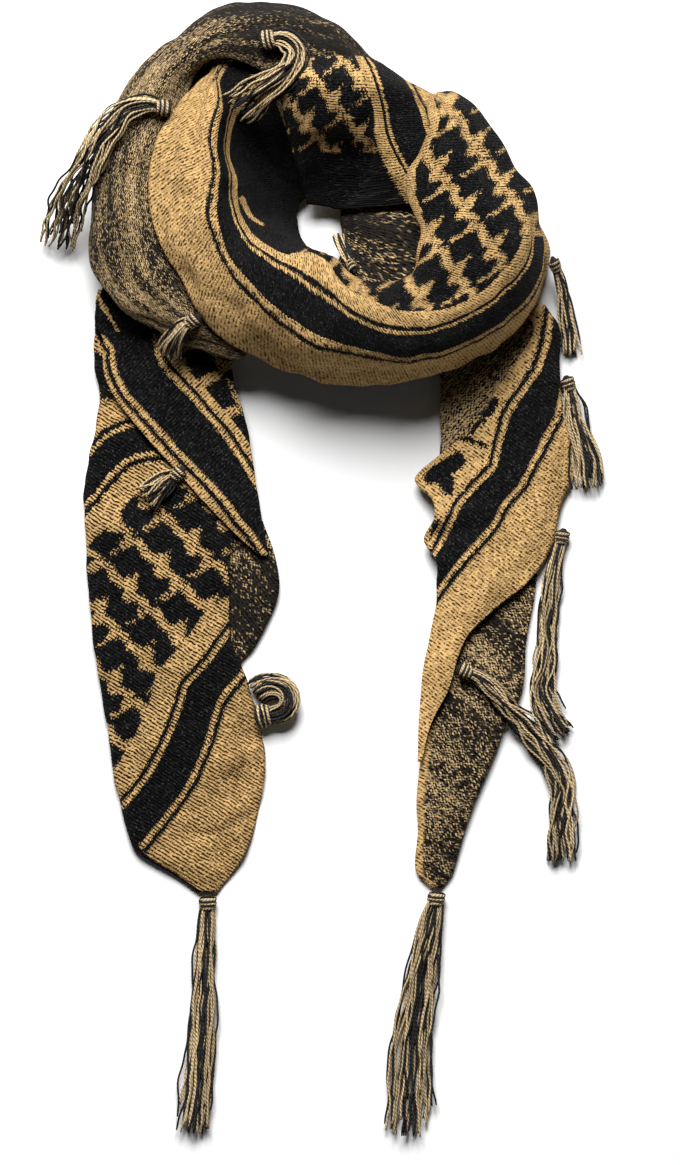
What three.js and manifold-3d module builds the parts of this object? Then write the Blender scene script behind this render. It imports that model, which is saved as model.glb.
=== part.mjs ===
// A knitted keffiyeh scarf, wound into a ring with two hanging ends and laid flat on a table.
// Millimetres, +Z up. The origin is on the table, under the middle of the bounding box.
// +Y points from the tips of the two ends towards the back of the ring.
//
// Each stretch of cloth is a wall about its middle surface. A table gives that surface: one row for
// each section along the stretch, and one named column for each station across the cloth.
// Stations on the ring are [radius, height] about the neck opening, at the row's azimuth in degrees
// (0 = +X, 90 = +Y). Stations on the two ends are [x, height] at the row's y.

import * as THREE from "three";
import { mergeVertices } from "three/addons/utils/BufferGeometryUtils.js";
import Module from "manifold-3d";

const wasm = await Module();
wasm.setup();

// ---------------------------------------------------------------- driving dimensions
const CLOTH_THICKNESS = 2.4;          // two-colour double knit
const NECK = { x: -3.5, y: 248.5 };   // middle of the neck opening
const ALONG_STEPS = 1;                // facets between two table rows
const ACROSS_STEPS = 2;               // facets between two stations
const FULL_TURN = 360;
const CURVE_TENSION = 0.5;

// Tassels: hanks of yarn tied to the cloth's edge.
const TASSEL_HEAD_LENGTH = 13;
const TASSEL_HEAD_RADIUS = 4.6;
const TASSEL_HEAD_SIDES = 8;
const TASSEL_HEAD_RINGS = 5;
const LOCK_ROOT_RADIUS = 0.7;
const LOCK_RADIUS = 1.3;
const LOCK_END_RADIUS = 0.6;
const LOCK_SIDES = 3;
const LOCK_UNEVENNESS = 0.4;          // share of the last stretch that the shortest lock lacks
const LOCK_SCATTER = 2.3;             // spreads the locks' lengths unevenly
const ROUTE_TANGENT_STEP = 0.01;      // share of a route over which its direction is taken
const TABLE_CLEARANCE = 0.4;          // yarn ends stay this far above the table
const MERGE_DISTANCE = 1e-4;
const GOLDEN_ANGLE = Math.PI * (3 - Math.sqrt(5));

// Hidden layers: the folds inside the ring, heaped as one rounded solid.
const CORE_LIPS = 3;                  // folded edges that show on its outer side
const CORE_LIP_DEPTH = 2.5;
const CORE_AROUND_STEPS = 2;
const CORE_SECTION_STEPS = 3;
const CORE_CREST_STATION = 2;         // the outer side starts at this station of a section

// Layers under the two ends: the outline of a section, from its left foot over the top.
const SLAB_EDGE = 0.66;               // width of the rounded edge as a share of the height
const SLAB_PROFILE = table(["place from left to right", "inset in edge widths", "share of height"], [
  [0, 0, 0],
  [0, 0, 0.5],
  [0, 0.42, 0.85],
  [0, 1, 1],
  [0.5, 0, 1.08],
  [1, -1, 1],
  [1, -0.42, 0.85],
  [1, 0, 0.5],
  [1, 0, 0],
]);

// A table's rows, each checked against the names of its columns.
function table(columns, rows) {
  const broken = rows.find((row) => row.length !== columns.length);
  if (broken) {
    throw new Error(`the row of ${broken[0]} has ${broken.length} values for ${columns.length} columns`);
  }
  return rows;
}

// ---------------------------------------------------------------- colours and finish
const TAN_YARN = "#d0a86c";
const BLACK_YARN = "#222225";
const MIXED_YARN = "#5f5240";
const KNIT_ROUGHNESS = 0.92;

const tanKnit = () => knit(TAN_YARN);
const blackKnit = () => knit(BLACK_YARN);
const mixedKnit = () => knit(MIXED_YARN);

function knit(colour) {
  return new THREE.MeshStandardMaterial({
    color: new THREE.Color(colour),
    roughness: KNIT_ROUGHNESS,
    metalness: 0,
  });
}

// ---------------------------------------------------------------- the ring
// The top wrap: its hem runs round the outside, its other side falls into the neck opening.
const FRONT_WRAP = table(["azimuth", "hem", "line", "band", "field", "crown", "rim", "foot"], [
  [112, [138, 34], [124, 42], [108, 44], [94, 40], [72, 30], [42, 16], [18, 8]],
  [120, [136, 40], [125, 47], [106, 48], [92, 43], [70, 31], [42, 16], [18, 8]],
  [127, [125, 53], [118, 58], [100, 52], [88, 45], [68, 31], [42, 16], [17, 8]],
  [134, [124, 59], [103, 73], [94, 56], [84, 45], [66, 30], [41, 15], [16, 8]],
  [146, [124, 59.5], [92, 78], [82, 60], [74, 46], [58, 29], [36, 14], [16, 8]],
  [158, [123, 59.5], [79, 80], [70, 60], [63, 45], [48, 27], [31, 13], [16, 7]],
  [170, [121, 59.5], [77, 81], [67, 62], [58, 46], [44, 27], [29, 13], [16, 7]],
  [182, [117, 59.5], [77, 82], [62, 67], [54, 48], [42, 27], [28, 13], [16, 7]],
  [194, [111, 58.5], [75, 82], [58, 72], [48, 54], [38, 30], [26, 13], [16, 7]],
  [206, [107, 58.5], [75, 82], [55, 78], [44, 62], [34, 34], [25, 14], [17, 7]],
  [218, [108, 55.5], [74, 81], [52, 81], [40, 68], [31, 38], [25, 15], [19, 7]],
  [230, [109, 52], [75, 80], [50, 82], [36, 71], [29, 42], [26, 17], [22, 7]],
  [242, [109, 46], [78, 79], [49, 83], [34, 73], [28, 44], [27, 18], [25, 7]],
  [254, [110, 37], [83, 77], [51, 83], [32, 75], [28, 45], [29, 19], [29, 7]],
  [266, [114, 30], [90, 76], [57, 84], [32, 77], [29, 46], [32, 20], [33, 8]],
  [278, [119, 28], [98, 74], [66, 85], [37, 80], [30, 56], [36, 34], [42, 20]],
  [290, [125, 28], [107, 73], [82, 85], [57, 85], [38, 70], [41, 52], [50, 40]],
  [302, [134, 28], [120, 70], [100, 84], [76, 87], [57, 76], [57, 58], [67, 47]],
  [314, [145, 27], [132, 66], [115, 82], [98, 88], [73, 80], [70, 62], [80, 51]],
  [326, [156, 26], [147, 59], [129, 77], [116, 85], [88, 84], [78, 67], [87, 56]],
  [338, [163, 22], [157, 50], [141, 71], [130, 81], [99, 86], [75, 70], [83, 60]],
  [350, [161, 14], [159, 42], [151, 63], [140, 78], [109, 86], [74, 68], [82, 58]],
  [358, [150, 7], [152, 32], [150, 54], [143, 69], [112, 85], [68, 67], [76, 57]],
  [366, [136, 4], [144, 24], [146, 46], [142, 62], [110, 84], [64, 67], [72, 58]],
  [374, [126, 4], [133, 22], [137, 44], [134, 60], [107, 83], [64, 67], [72, 58]],
  [386, [118, 4], [126, 22], [130, 43], [129, 58], [106, 81], [71, 68], [79, 60]],
  [398, [115, 4], [122, 21], [126, 41], [126, 56], [112, 76], [95, 73], [100, 65]],
  [410, [110, 5], [116, 20], [120, 36], [120, 50], [119, 62], [115, 68], [109, 63]],
  [416, [107, 5], [112, 18], [116, 33], [117, 44], [116, 53], [114, 58], [111, 53]],
]);

// The wrap beneath it, reverse side out, round the back and the left of the ring.
const BACK_WRAP = table(["azimuth", "foot", "contour", "shoulder", "crest", "slope", "inner"], [
  [66, [100, 4], [111, 20], [109, 36], [102, 46], [94, 49], [86, 48]],
  [76, [108, 4], [119, 22], [116, 40], [107, 50], [98, 53], [89, 51]],
  [86, [121, 4], [131, 24], [127, 44], [115, 54], [103, 55], [92, 52]],
  [98, [136, 4], [146, 26], [140, 48], [125, 58], [109, 56], [96, 52]],
  [110, [144, 4], [154, 26], [148, 49], [133, 61], [117, 60], [103, 54]],
  [120, [149, 4], [159, 27], [153, 50], [141, 62], [131, 63], [124, 60]],
  [128, [149, 4], [159, 27], [154, 50], [144, 61], [136, 62], [131, 58]],
  [137, [149, 4], [159, 27], [154, 49], [144, 59], [133, 57], [124, 51]],
  [148, [150, 4], [160, 27], [155, 48], [142, 58], [126, 56], [112, 51]],
  [158, [153, 4], [163, 27], [157, 48], [143, 58], [125, 56], [108, 51]],
  [170, [151, 4], [161, 27], [155, 48], [141, 58], [123, 56], [104, 51]],
  [182, [148, 4], [158, 27], [152, 48], [138, 58], [120, 56], [101, 51]],
  [194, [150, 6], [160, 28], [153, 47], [137, 57], [117, 55], [98, 50]],
  [202, [151, 26], [155, 38], [148, 49], [134, 56], [115, 54], [97, 49]],
  [210, [144, 34], [146, 42], [139, 49], [127, 54], [111, 52], [95, 47]],
  [220, [133, 36], [135, 42], [129, 47], [119, 51], [106, 49], [94, 44]],
  [231, [122, 36], [123, 41], [118, 45], [111, 47], [101, 45], [92, 41]],
  [242, [112, 34], [113, 38], [109, 41], [104, 42], [97, 40], [90, 37]],
]);

// The wall of the neck opening on the right, reverse side out.
const WELL_WRAP = table(["azimuth", "outer", "upper", "middle", "lower", "opening"], [
  [293, [58, 30], [52, 30], [46, 26], [40, 19], [35, 10]],
  [301, [66, 35], [58, 35], [49, 30], [40, 20], [31, 9]],
  [313, [77, 40], [65, 40], [51, 34], [37, 22], [25, 9]],
  [326, [86, 44], [71, 45], [53, 38], [34, 23], [20, 9]],
  [340, [84, 47], [69, 47], [49, 38], [30, 23], [16, 9]],
  [352, [80, 44], [66, 43], [46, 35], [28, 21], [15, 9]],
  [364, [77, 35], [63, 34], [44, 27], [27, 17], [15, 8]],
  [375, [73, 27], [59, 26.5], [42, 21], [27, 13], [15, 7]],
]);

// The wrap that crosses the back of the ring and falls into the neck opening. Its rows follow the
// stripes, so each station here is a full point [x, y, height].
const CROSSING_WRAP = table(["edge", "crest", "upper", "middle", "lower", "deep", "opening"], [
  [[-34, 345, 64], [-31, 331, 68], [-28, 314, 60], [-24, 296, 48],
    [-19, 279, 36], [-15, 265, 24], [-13, 256, 17]],
  [[-18, 356, 64], [-15, 340, 76], [-12, 322, 69], [-10, 304, 55],
    [-8, 287, 38], [-7, 270, 23], [-6, 255, 16]],
  [[7, 357, 64], [7, 340, 78], [8, 322, 71], [8, 304, 57],
    [6, 287, 38], [3, 269, 22], [1, 254, 15]],
  [[17, 356, 64], [21, 340, 77], [27, 321, 69], [30, 301, 52],
    [31, 284, 37], [27, 266, 27], [15, 252, 19]],
  [[21, 356, 64], [28, 340, 77], [34, 321, 71], [36, 302, 64],
    [41, 286, 57], [51, 269, 51], [58, 255, 45]],
  [[30, 354, 63], [37, 339, 75], [43, 321, 69], [47, 302, 63],
    [54, 287, 58], [61, 273, 53], [66, 259, 47]],
  [[54, 341, 51], [60, 332, 60], [65, 321, 59], [70, 304, 58],
    [73, 291, 55], [77, 279, 51], [80, 266, 46]],
  [[62, 337, 47], [67, 328, 53], [72, 317, 53], [78, 302, 53],
    [80, 290, 51], [84, 279, 47], [87, 268, 43]],
]);

// The layers heaped inside the ring. It lies flat on the table.
const HIDDEN_LAYERS = table(["azimuth", "innerFoot", "innerSide", "crest", "outerSide", "outerFoot"], [
  [0, [40, 0], [58, 13.5], [102, 40], [124, 28], [126, 0]],
  [30, [36, 0], [50, 12], [90, 36], [108, 26], [110, 0]],
  [60, [26, 0], [38, 12], [76, 36], [94, 26], [96, 0]],
  [90, [24, 0], [40, 12], [90, 34], [112, 24], [114, 0]],
  [120, [36, 0], [58, 16], [112, 34], [132, 24], [134, 0]],
  [150, [36, 0], [56, 18], [104, 46], [138, 26], [140, 0]],
  [180, [34, 0], [52, 20], [92, 48], [136, 26], [138, 0]],
  [205, [32, 0], [46, 24], [80, 46], [110, 24], [112, 0]],
  [230, [34, 0], [42, 30], [70, 44], [90, 26], [94, 0]],
  [255, [38, 0], [42, 32], [64, 56], [88, 30], [94, 0]],
  [280, [48, 0], [54, 26], [72, 52], [92, 30], [96, 0]],
  [305, [52, 0], [66, 23], [92, 40], [108.2, 24], [108.2, 0]],
  [330, [47, 0], [67, 27.5], [106, 46], [122, 26], [120, 0]],
]);

// ---------------------------------------------------------------- the left end
const LEFT_PANEL = table(["y", "under", "fold", "shoulder", "crest", "slope", "edge"], [
  [165, [-156, 1.8], [-161, 6], [-154, 11], [-146, 12], [-138, 11], [-130, 9]],
  [147, [-155, 1.8], [-160, 6], [-153, 11.5], [-142, 12.5], [-131, 12], [-121, 10]],
  [119, [-152, 1.8], [-157, 6], [-149, 12], [-134, 13], [-116, 11.5], [-98, 9.2]],
  [91, [-158, 1.8], [-163, 6.5], [-154, 12.5], [-130, 13.5], [-104, 12.5], [-77, 10]],
  [63, [-162, 1.8], [-167, 6.5], [-157, 13], [-128, 14], [-95, 13], [-66, 10]],
  [35, [-162, 1.8], [-167, 6.5], [-156, 13], [-126, 14.5], [-92, 13], [-63, 9.2]],
  [7, [-161, 1.8], [-166, 6.5], [-155, 13], [-124, 15], [-92, 14], [-67, 10.5]],
  [-21, [-160, 1.8], [-165, 6.5], [-154, 13], [-122, 15.5], [-90, 14.5], [-67, 10.5]],
  [-49, [-156, 1.8], [-161, 6.5], [-150, 13], [-119, 15.5], [-88, 14.5], [-66, 10]],
  [-77, [-152, 1.8], [-157, 6], [-146, 12.5], [-114, 15], [-80, 13.5], [-55, 6]],
  [-105, [-147, 1.8], [-152, 6], [-141, 12], [-107, 14.5], [-73, 12], [-47, 3]],
  [-133, [-143, 1.8], [-148, 5.5], [-138, 11], [-103, 13.5], [-68, 10.5], [-42, 2.4]],
  [-161, [-138, 1.8], [-142.5, 5], [-133, 10], [-100, 12], [-69, 9.5], [-45, 2.4]],
  [-182, [-131, 1.8], [-136, 4.5], [-127, 9], [-99, 10.5], [-72, 8.5], [-50, 2.2]],
  [-199, [-120, 1.8], [-125, 4], [-117, 7.5], [-98, 9], [-76, 7], [-57, 2.2]],
  [-213, [-101, 1.8], [-105, 3.5], [-99, 6], [-88, 7], [-76, 5.5], [-66, 2]],
  [-225, [-86, 1.6], [-88, 3], [-86, 4.5], [-83, 5], [-79, 4], [-76, 2]],
]);

// The flap over it, which narrows to a point on the right.
const LEFT_FLAP = table(["y", "left", "band", "middle", "right"], [
  [196, [-150, 18], [-134, 21], [-116, 22], [-96, 20]],
  [175, [-156, 17], [-134, 22], [-108, 23], [-80, 19]],
  [154, [-156, 16.5], [-130, 22], [-100, 23], [-68, 17]],
  [133, [-152, 17], [-128, 21.5], [-97, 22], [-64, 14]],
  [115, [-141, 18], [-117, 21.5], [-88, 21], [-59, 12]],
  [98, [-123, 18.5], [-102, 20.5], [-78, 19], [-54, 11]],
  [84, [-111, 18.5], [-92, 20], [-72, 18], [-52, 10.5]],
  [70, [-98, 18.5], [-83, 19.5], [-67, 17], [-50, 10]],
  [56, [-85, 18], [-74, 18.5], [-61, 16], [-48, 10]],
  [38, [-69, 16], [-61, 16.5], [-53, 14], [-45, 9.5]],
  [24, [-54, 12.5], [-49, 13], [-45, 11.5], [-41, 9]],
  [11, [-41, 9.5], [-40, 9.5], [-39.3, 9], [-38.5, 8.5]],
]);

// The layers under the left end: [y, left edge, right edge, height].
const LEFT_UNDER = table(["y", "left", "right", "height"], [
  [150, -150, -124, 5],
  [119, -147.5, -84, 7],
  [77, -155.5, -62, 7],
  [49, -159.5, -52, 7],
  [28, -159.5, -44, 7],
  [10, -158, -38, 6],
  [-14, -157, -35, 6.5],
  [-36, -154, -43, 6.5],
  [-53, -152, -52, 6],
  [-66, -150, -61, 6],
  [-98, -144, -61, 6],
  [-140, -137, -59, 5.5],
  [-175, -128, -66, 5],
  [-197, -114, -78, 4],
]);

// ---------------------------------------------------------------- the right end
const RIGHT_PANEL = table(["y", "left", "inner", "middle", "slope", "right"], [
  [185, [134, 13], [139, 14], [144, 14], [149, 12], [153, 9]],
  [171, [146, 13], [151, 14.5], [155, 14], [159, 12], [162, 8]],
  [157, [142, 13.5], [149, 15.5], [155, 15.5], [160, 13], [164, 8]],
  [140, [129.5, 14], [139, 16.5], [148, 17], [157, 14], [164, 7]],
  [119, [115.5, 12.6], [128, 16.5], [141, 17.5], [154, 14], [165, 6.5]],
  [98, [102, 12.5], [119, 16.5], [136, 17.5], [154, 14], [170, 6]],
  [84, [85, 12], [107, 16], [130, 17.5], [152, 14], [171.5, 5.5]],
  [64, [63, 9.5], [92, 15.5], [121, 17.5], [149, 14], [173, 5.5]],
  [49, [75, 16], [99, 16], [122, 17], [146, 13.5], [166, 5.5]],
  [35, [76, 17], [98, 16.5], [120, 17], [142, 13], [162, 5.5]],
  [21, [69, 9.5], [93, 15.5], [116, 17], [139, 13], [160, 5.5]],
  [6, [78, 15], [97, 16], [116, 16.5], [135, 13.5], [153, 6.5]],
  [-10, [78, 12], [94, 15], [110, 16], [126, 14.5], [140, 11]],
  [-24, [78, 11], [90, 14], [101, 15], [112, 14.5], [122.5, 12.5]],
  [-43, [74, 11], [81, 13.5], [88, 14.5], [95, 14.5], [101.5, 13]],
  [-59, [71, 11], [76.5, 13.5], [82, 14.5], [88, 14.5], [93, 13.5]],
  [-84, [67, 11], [72, 13.5], [77, 14.5], [82, 14.5], [86, 14]],
  [-108, [66, 11.5], [68, 12.5], [70, 13.5], [72, 14], [74, 14.2]],
  [-134, [65.5, 12], [66, 12.3], [66.5, 12.6], [67, 12.8], [67.5, 13]],
]);

// The reverse side that shows between the ring and the right panel.
const RIGHT_UPPER = table(["y", "left", "inner", "middle", "right"], [
  [170, [81, 10], [100, 11], [120, 10], [136, 8]],
  [150, [81, 10.5], [100, 12], [118, 11], [133, 8.5]],
  [131, [81, 9.5], [98, 11], [115, 10.5], [128, 8.5]],
  [112, [81, 8.5], [94, 10], [108, 9.5], [120, 8]],
  [98, [81, 8], [92, 9.5], [103, 9], [113, 8]],
  [84, [82, 7.5], [89, 8.5], [97, 8.5], [105, 8]],
  [72, [84, 7.2], [88, 7.6], [93, 7.6], [98, 7.5]],
]);

// The layers under the right end. Below the panel their reverse side shows.
const RIGHT_UNDER = table(["y", "left", "right", "height"], [
  [112, 91, 150, 5],
  [84, 82, 156, 5.5],
  [49, 86, 154, 5.5],
  [14, 86, 150, 5],
  [-4, 84, 147, 5],
  [-21, 83, 145, 6],
  [-49, 78, 140, 7],
  [-77, 71, 138.5, 8],
  [-94, 69, 133, 8.5],
  [-108, 68.5, 126, 9],
  [-122, 68, 121, 9],
  [-136, 66.5, 115.5, 9],
  [-161, 64, 105, 8.5],
  [-182, 65, 98, 8],
  [-203, 63, 92, 7],
  [-212, 64.5, 89, 6],
  [-222, 74, 82, 4.5],
]);

// ---------------------------------------------------------------- the tassels
// Each row: name, number of locks, width at the neck, width at the end, depth over width, and the
// route of the hank from its head to its end.
const TASSELS = table(["name", "locks", "neckWidth", "endWidth", "flatness", "route"], [
  ["tassel_shoulder", 12, 7.5, 19, 0.4,
    [[-112, 321, 63], [-123, 323, 66], [-137, 319, 66], [-150, 306, 63], [-162, 287, 58.5],
      [-174, 266, 42], [-182, 243, 20], [-186, 226, 7]]],
  ["tassel_crown", 10, 7.5, 15, 0.45,
    [[-42, 372, 67], [-30, 373, 70], [-19, 365, 70], [-22, 352, 73], [-34, 341, 75],
      [-49, 331, 70], [-64, 321, 61]]],
  ["tassel_waist", 8, 6.5, 11, 0.5,
    [[-91, 174, 57.5], [-99, 168, 56], [-105, 160, 50], [-110, 149, 36]]],
  ["tassel_left_band", 10, 7, 15, 0.4,
    [[-104, 66, 19.6], [-110, 61, 19.6], [-117, 55, 19.6], [-124, 48, 19.7]]],
  ["tassel_left_curl", 10, 7, 12, 0.5,
    [[-41, -106, 5.2], [-43, -94, 10], [-39, -82, 9], [-29, -77, 7], [-19, -81, 6],
      [-15, -92, 6], [-20, -104, 6]]],
  ["tassel_neck", 6, 5, 7, 0.6,
    [[19, 211, 34], [15, 219, 28], [12, 227, 21], [10, 235, 15]]],
  ["tassel_right_ring", 8, 6, 11, 0.5,
    [[160.2, 214, 22], [165, 200, 16], [168, 183, 10], [171, 165, 6], [172, 150, 5]]],
  ["tassel_right_upper", 12, 7, 17, 0.45,
    [[169.7, 131, 5.2], [173, 118, 6], [178, 98, 6], [182, 78, 6], [184, 57, 6]]],
  ["tassel_right_middle", 12, 7.5, 15, 0.45,
    [[166, 24, 5.2], [161, 6, 6], [157, -21, 6], [155, -56, 6], [152, -84, 6],
      [157, -100, 6], [168, -116, 6]]],
  ["tassel_right_inner", 12, 7.5, 18, 0.45,
    [[97, -70, 13.9], [109, -77, 14.5], [123, -91, 13.5], [140, -108, 8], [158, -133, 6],
      [165, -154, 6], [166, -182, 6], [166, -204, 6]]],
  ["tassel_left_tip", 14, 7.5, 24, 0.35,
    [[-82, -232, 5.2], [-83, -250, 6], [-85, -300, 6], [-87, -343, 6], [-92, -394, 6]]],
  ["tassel_right_tip", 14, 7.5, 38, 0.25,
    [[78, -229, 5.2], [74, -250, 7], [65, -295, 7], [60, -345, 6], [57, -396, 6]]],
]);

// ---------------------------------------------------------------- surfaces through the tables
function mix(a, b, t) {
  return a + (b - a) * t;
}

function radians(degrees) {
  return (degrees * Math.PI) / (FULL_TURN / 2);
}

function smoothCurve(points) {
  return new THREE.CatmullRomCurve3(points, false, "catmullrom", CURVE_TENSION);
}

// Samples a smooth curve through the points, with the same number of steps between each two.
function smooth(points, steps) {
  const curve = smoothCurve(points);
  const total = (points.length - 1) * steps;
  return Array.from({ length: total + 1 }, (_, i) => curve.getPoint(i / total));
}

// rows[i][j] is a point. The result has the steps added both ways.
function smoothGrid(rows, alongSteps, acrossSteps) {
  const across = rows.map((row) => smooth(row, acrossSteps));
  const columns = across[0].map((_, j) => smooth(across.map((row) => row[j]), alongSteps));
  return columns[0].map((_, i) => columns.map((column) => column[i]));
}

const ringPoint = ({ x: azimuth, y: radius, z }) => new THREE.Vector3(
  NECK.x + radius * Math.cos(radians(azimuth)),
  NECK.y + radius * Math.sin(radians(azimuth)),
  z,
);

// A table whose rows are [azimuth, [radius, height], ...].
function ringGrid(rows, alongSteps = ALONG_STEPS, acrossSteps = ACROSS_STEPS) {
  const polar = rows.map(([azimuth, ...stations]) => (
    stations.map(([radius, z]) => new THREE.Vector3(azimuth, radius, z))
  ));
  return smoothGrid(polar, alongSteps, acrossSteps).map((row) => row.map(ringPoint));
}

// A table whose rows are [y, [x, height], ...].
function endGrid(rows) {
  const points = rows.map(([y, ...stations]) => stations.map(([x, z]) => new THREE.Vector3(x, y, z)));
  return smoothGrid(points, ALONG_STEPS, ACROSS_STEPS);
}

// A table whose stations are whole points.
function pointGrid(rows) {
  const points = rows.map((stations) => stations.map((point) => new THREE.Vector3(...point)));
  return smoothGrid(points, ALONG_STEPS, ACROSS_STEPS);
}

// ---------------------------------------------------------------- solids
function solidGeometry(points, triangles) {
  const geometry = new THREE.BufferGeometry();
  const position = points.flatMap((point) => point.toArray());
  geometry.setAttribute("position", new THREE.Float32BufferAttribute(position, 3));
  const outward = volume(points, triangles) > 0;
  geometry.setIndex(triangles.flatMap(([a, b, c]) => (outward ? [a, b, c] : [a, c, b])));
  return geometry;
}

function volume(points, triangles) {
  const sum = triangles.reduce((total, [a, b, c]) => (
    total + points[a].dot(new THREE.Vector3().crossVectors(points[b], points[c]))
  ), 0);
  return sum / 6;
}

// The unit normal of a grid of points at one of its points.
function gridNormal(grid, i, j) {
  const last = grid.length - 1;
  const end = grid[0].length - 1;
  const along = grid[Math.min(i + 1, last)][j].clone().sub(grid[Math.max(i - 1, 0)][j]);
  const across = grid[i][Math.min(j + 1, end)].clone().sub(grid[i][Math.max(j - 1, 0)]);
  return along.cross(across).normalize();
}

// Closes the space between two grids of the same size: cloth's two faces and its four edges.
function between(upper, lower) {
  const rows = upper.length;
  const columns = upper[0].length;
  const points = [...upper.flat(), ...lower.flat()];
  const top = (i, j) => i * columns + j;
  const bottom = (i, j) => rows * columns + i * columns + j;
  const triangles = [];
  const quad = (a, b, c, d) => triangles.push([a, b, c], [a, c, d]);
  for (let i = 0; i < rows - 1; i += 1) {
    for (let j = 0; j < columns - 1; j += 1) {
      quad(top(i, j), top(i + 1, j), top(i + 1, j + 1), top(i, j + 1));
      quad(bottom(i, j), bottom(i, j + 1), bottom(i + 1, j + 1), bottom(i + 1, j));
    }
    quad(top(i, 0), bottom(i, 0), bottom(i + 1, 0), top(i + 1, 0));
    const end = columns - 1;
    quad(top(i, end), top(i + 1, end), bottom(i + 1, end), bottom(i, end));
  }
  for (let j = 0; j < columns - 1; j += 1) {
    quad(top(0, j), top(0, j + 1), bottom(0, j + 1), bottom(0, j));
    const end = rows - 1;
    quad(top(end, j), bottom(end, j), bottom(end, j + 1), top(end, j + 1));
  }
  return solidGeometry(points, triangles);
}

// A cloth wall of even thickness about a grid of middle points.
function clothWall(grid) {
  const moved = (side) => grid.map((row, i) => row.map((point, j) => (
    point.clone().addScaledVector(gridNormal(grid, i, j), (side * CLOTH_THICKNESS) / 2)
  )));
  return between(moved(1), moved(-1));
}

// Folded layers under one of the ends, flat below with rounded edges: rows [y, left, right, height].
function slab(rows) {
  const ends = rows.map(([y, left, right, height]) => (
    [new THREE.Vector3(left, y, height), new THREE.Vector3(right, y, height)]
  ));
  const sections = smoothGrid(ends, ALONG_STEPS, 1).map(([left, right]) => (
    SLAB_PROFILE.map(([place, inset, rise]) => new THREE.Vector3(
      mix(left.x, right.x, place) + inset * SLAB_EDGE * left.z,
      left.y,
      left.z * rise,
    ))
  ));
  return slabSolid(sections);
}

// A grid of section outlines, each closed by its flat underside.
function slabSolid(sections) {
  const rows = sections.length;
  const columns = sections[0].length;
  const points = sections.flat();
  const at = (i, j) => i * columns + (j % columns);
  const triangles = [];
  for (let i = 0; i < rows - 1; i += 1) {
    for (let j = 0; j < columns; j += 1) {
      triangles.push([at(i, j), at(i + 1, j), at(i + 1, j + 1)]);
      triangles.push([at(i, j), at(i + 1, j + 1), at(i, j + 1)]);
    }
  }
  for (let j = 1; j < columns - 1; j += 1) {
    triangles.push([at(0, 0), at(0, j), at(0, j + 1)]);
    triangles.push([at(rows - 1, 0), at(rows - 1, j + 1), at(rows - 1, j)]);
  }
  return solidGeometry(points, triangles);
}

// The heap inside the ring: closed rings of points, flat below, lipped on the outer side.
function heap(rows) {
  const closed = [...rows, [FULL_TURN, ...rows[0].slice(1)]];
  const grid = ringGrid(closed, CORE_AROUND_STEPS, CORE_SECTION_STEPS);
  const around = grid.length - 1;
  const columns = grid[0].length;
  const outerStart = CORE_CREST_STATION * CORE_SECTION_STEPS;
  const points = grid.slice(0, around).flatMap((row) => row.map((point, j) => {
    const share = Math.max(0, (j - outerStart) / (columns - 1 - outerStart));
    const groove = CORE_LIP_DEPTH * Math.sin(Math.PI * CORE_LIPS * share) ** 2;
    const outward = new THREE.Vector3(point.x - NECK.x, point.y - NECK.y, 0).normalize();
    return point.clone().addScaledVector(outward, -groove).setZ(Math.max(0, point.z));
  }));
  const at = (i, j) => (i % around) * columns + (j % columns);
  const triangles = [];
  for (let i = 0; i < around; i += 1) {
    for (let j = 0; j < columns; j += 1) {
      triangles.push([at(i, j), at(i + 1, j), at(i + 1, j + 1)]);
      triangles.push([at(i, j), at(i + 1, j + 1), at(i, j + 1)]);
    }
  }
  return solidGeometry(points, triangles);
}

// ---------------------------------------------------------------- tassels
function manifoldOf(geometry) {
  const bare = geometry.clone();
  bare.deleteAttribute("normal");
  bare.deleteAttribute("uv");
  const merged = mergeVertices(bare, MERGE_DISTANCE);
  return new wasm.Manifold(new wasm.Mesh({
    numProp: 3,
    vertProperties: Float32Array.from(merged.attributes.position.array),
    triVerts: Uint32Array.from(merged.index.array),
  }));
}

function geometryOf(manifold) {
  const mesh = manifold.getMesh();
  const geometry = new THREE.BufferGeometry();
  geometry.setAttribute("position", new THREE.BufferAttribute(Float32Array.from(mesh.vertProperties), 3));
  geometry.setIndex(new THREE.BufferAttribute(Uint32Array.from(mesh.triVerts), 1));
  return geometry;
}

// Direction, side and lift of a route at share t of its length.
function routeFrame(curve, t) {
  const ahead = curve.getPoint(Math.min(t + ROUTE_TANGENT_STEP, 1));
  const behind = curve.getPoint(Math.max(t - ROUTE_TANGENT_STEP, 0));
  const forward = ahead.sub(behind).normalize();
  const side = new THREE.Vector3(0, 0, 1).cross(forward).normalize();
  const lift = forward.clone().cross(side);
  return { point: curve.getPoint(t), forward, side, lift };
}

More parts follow.
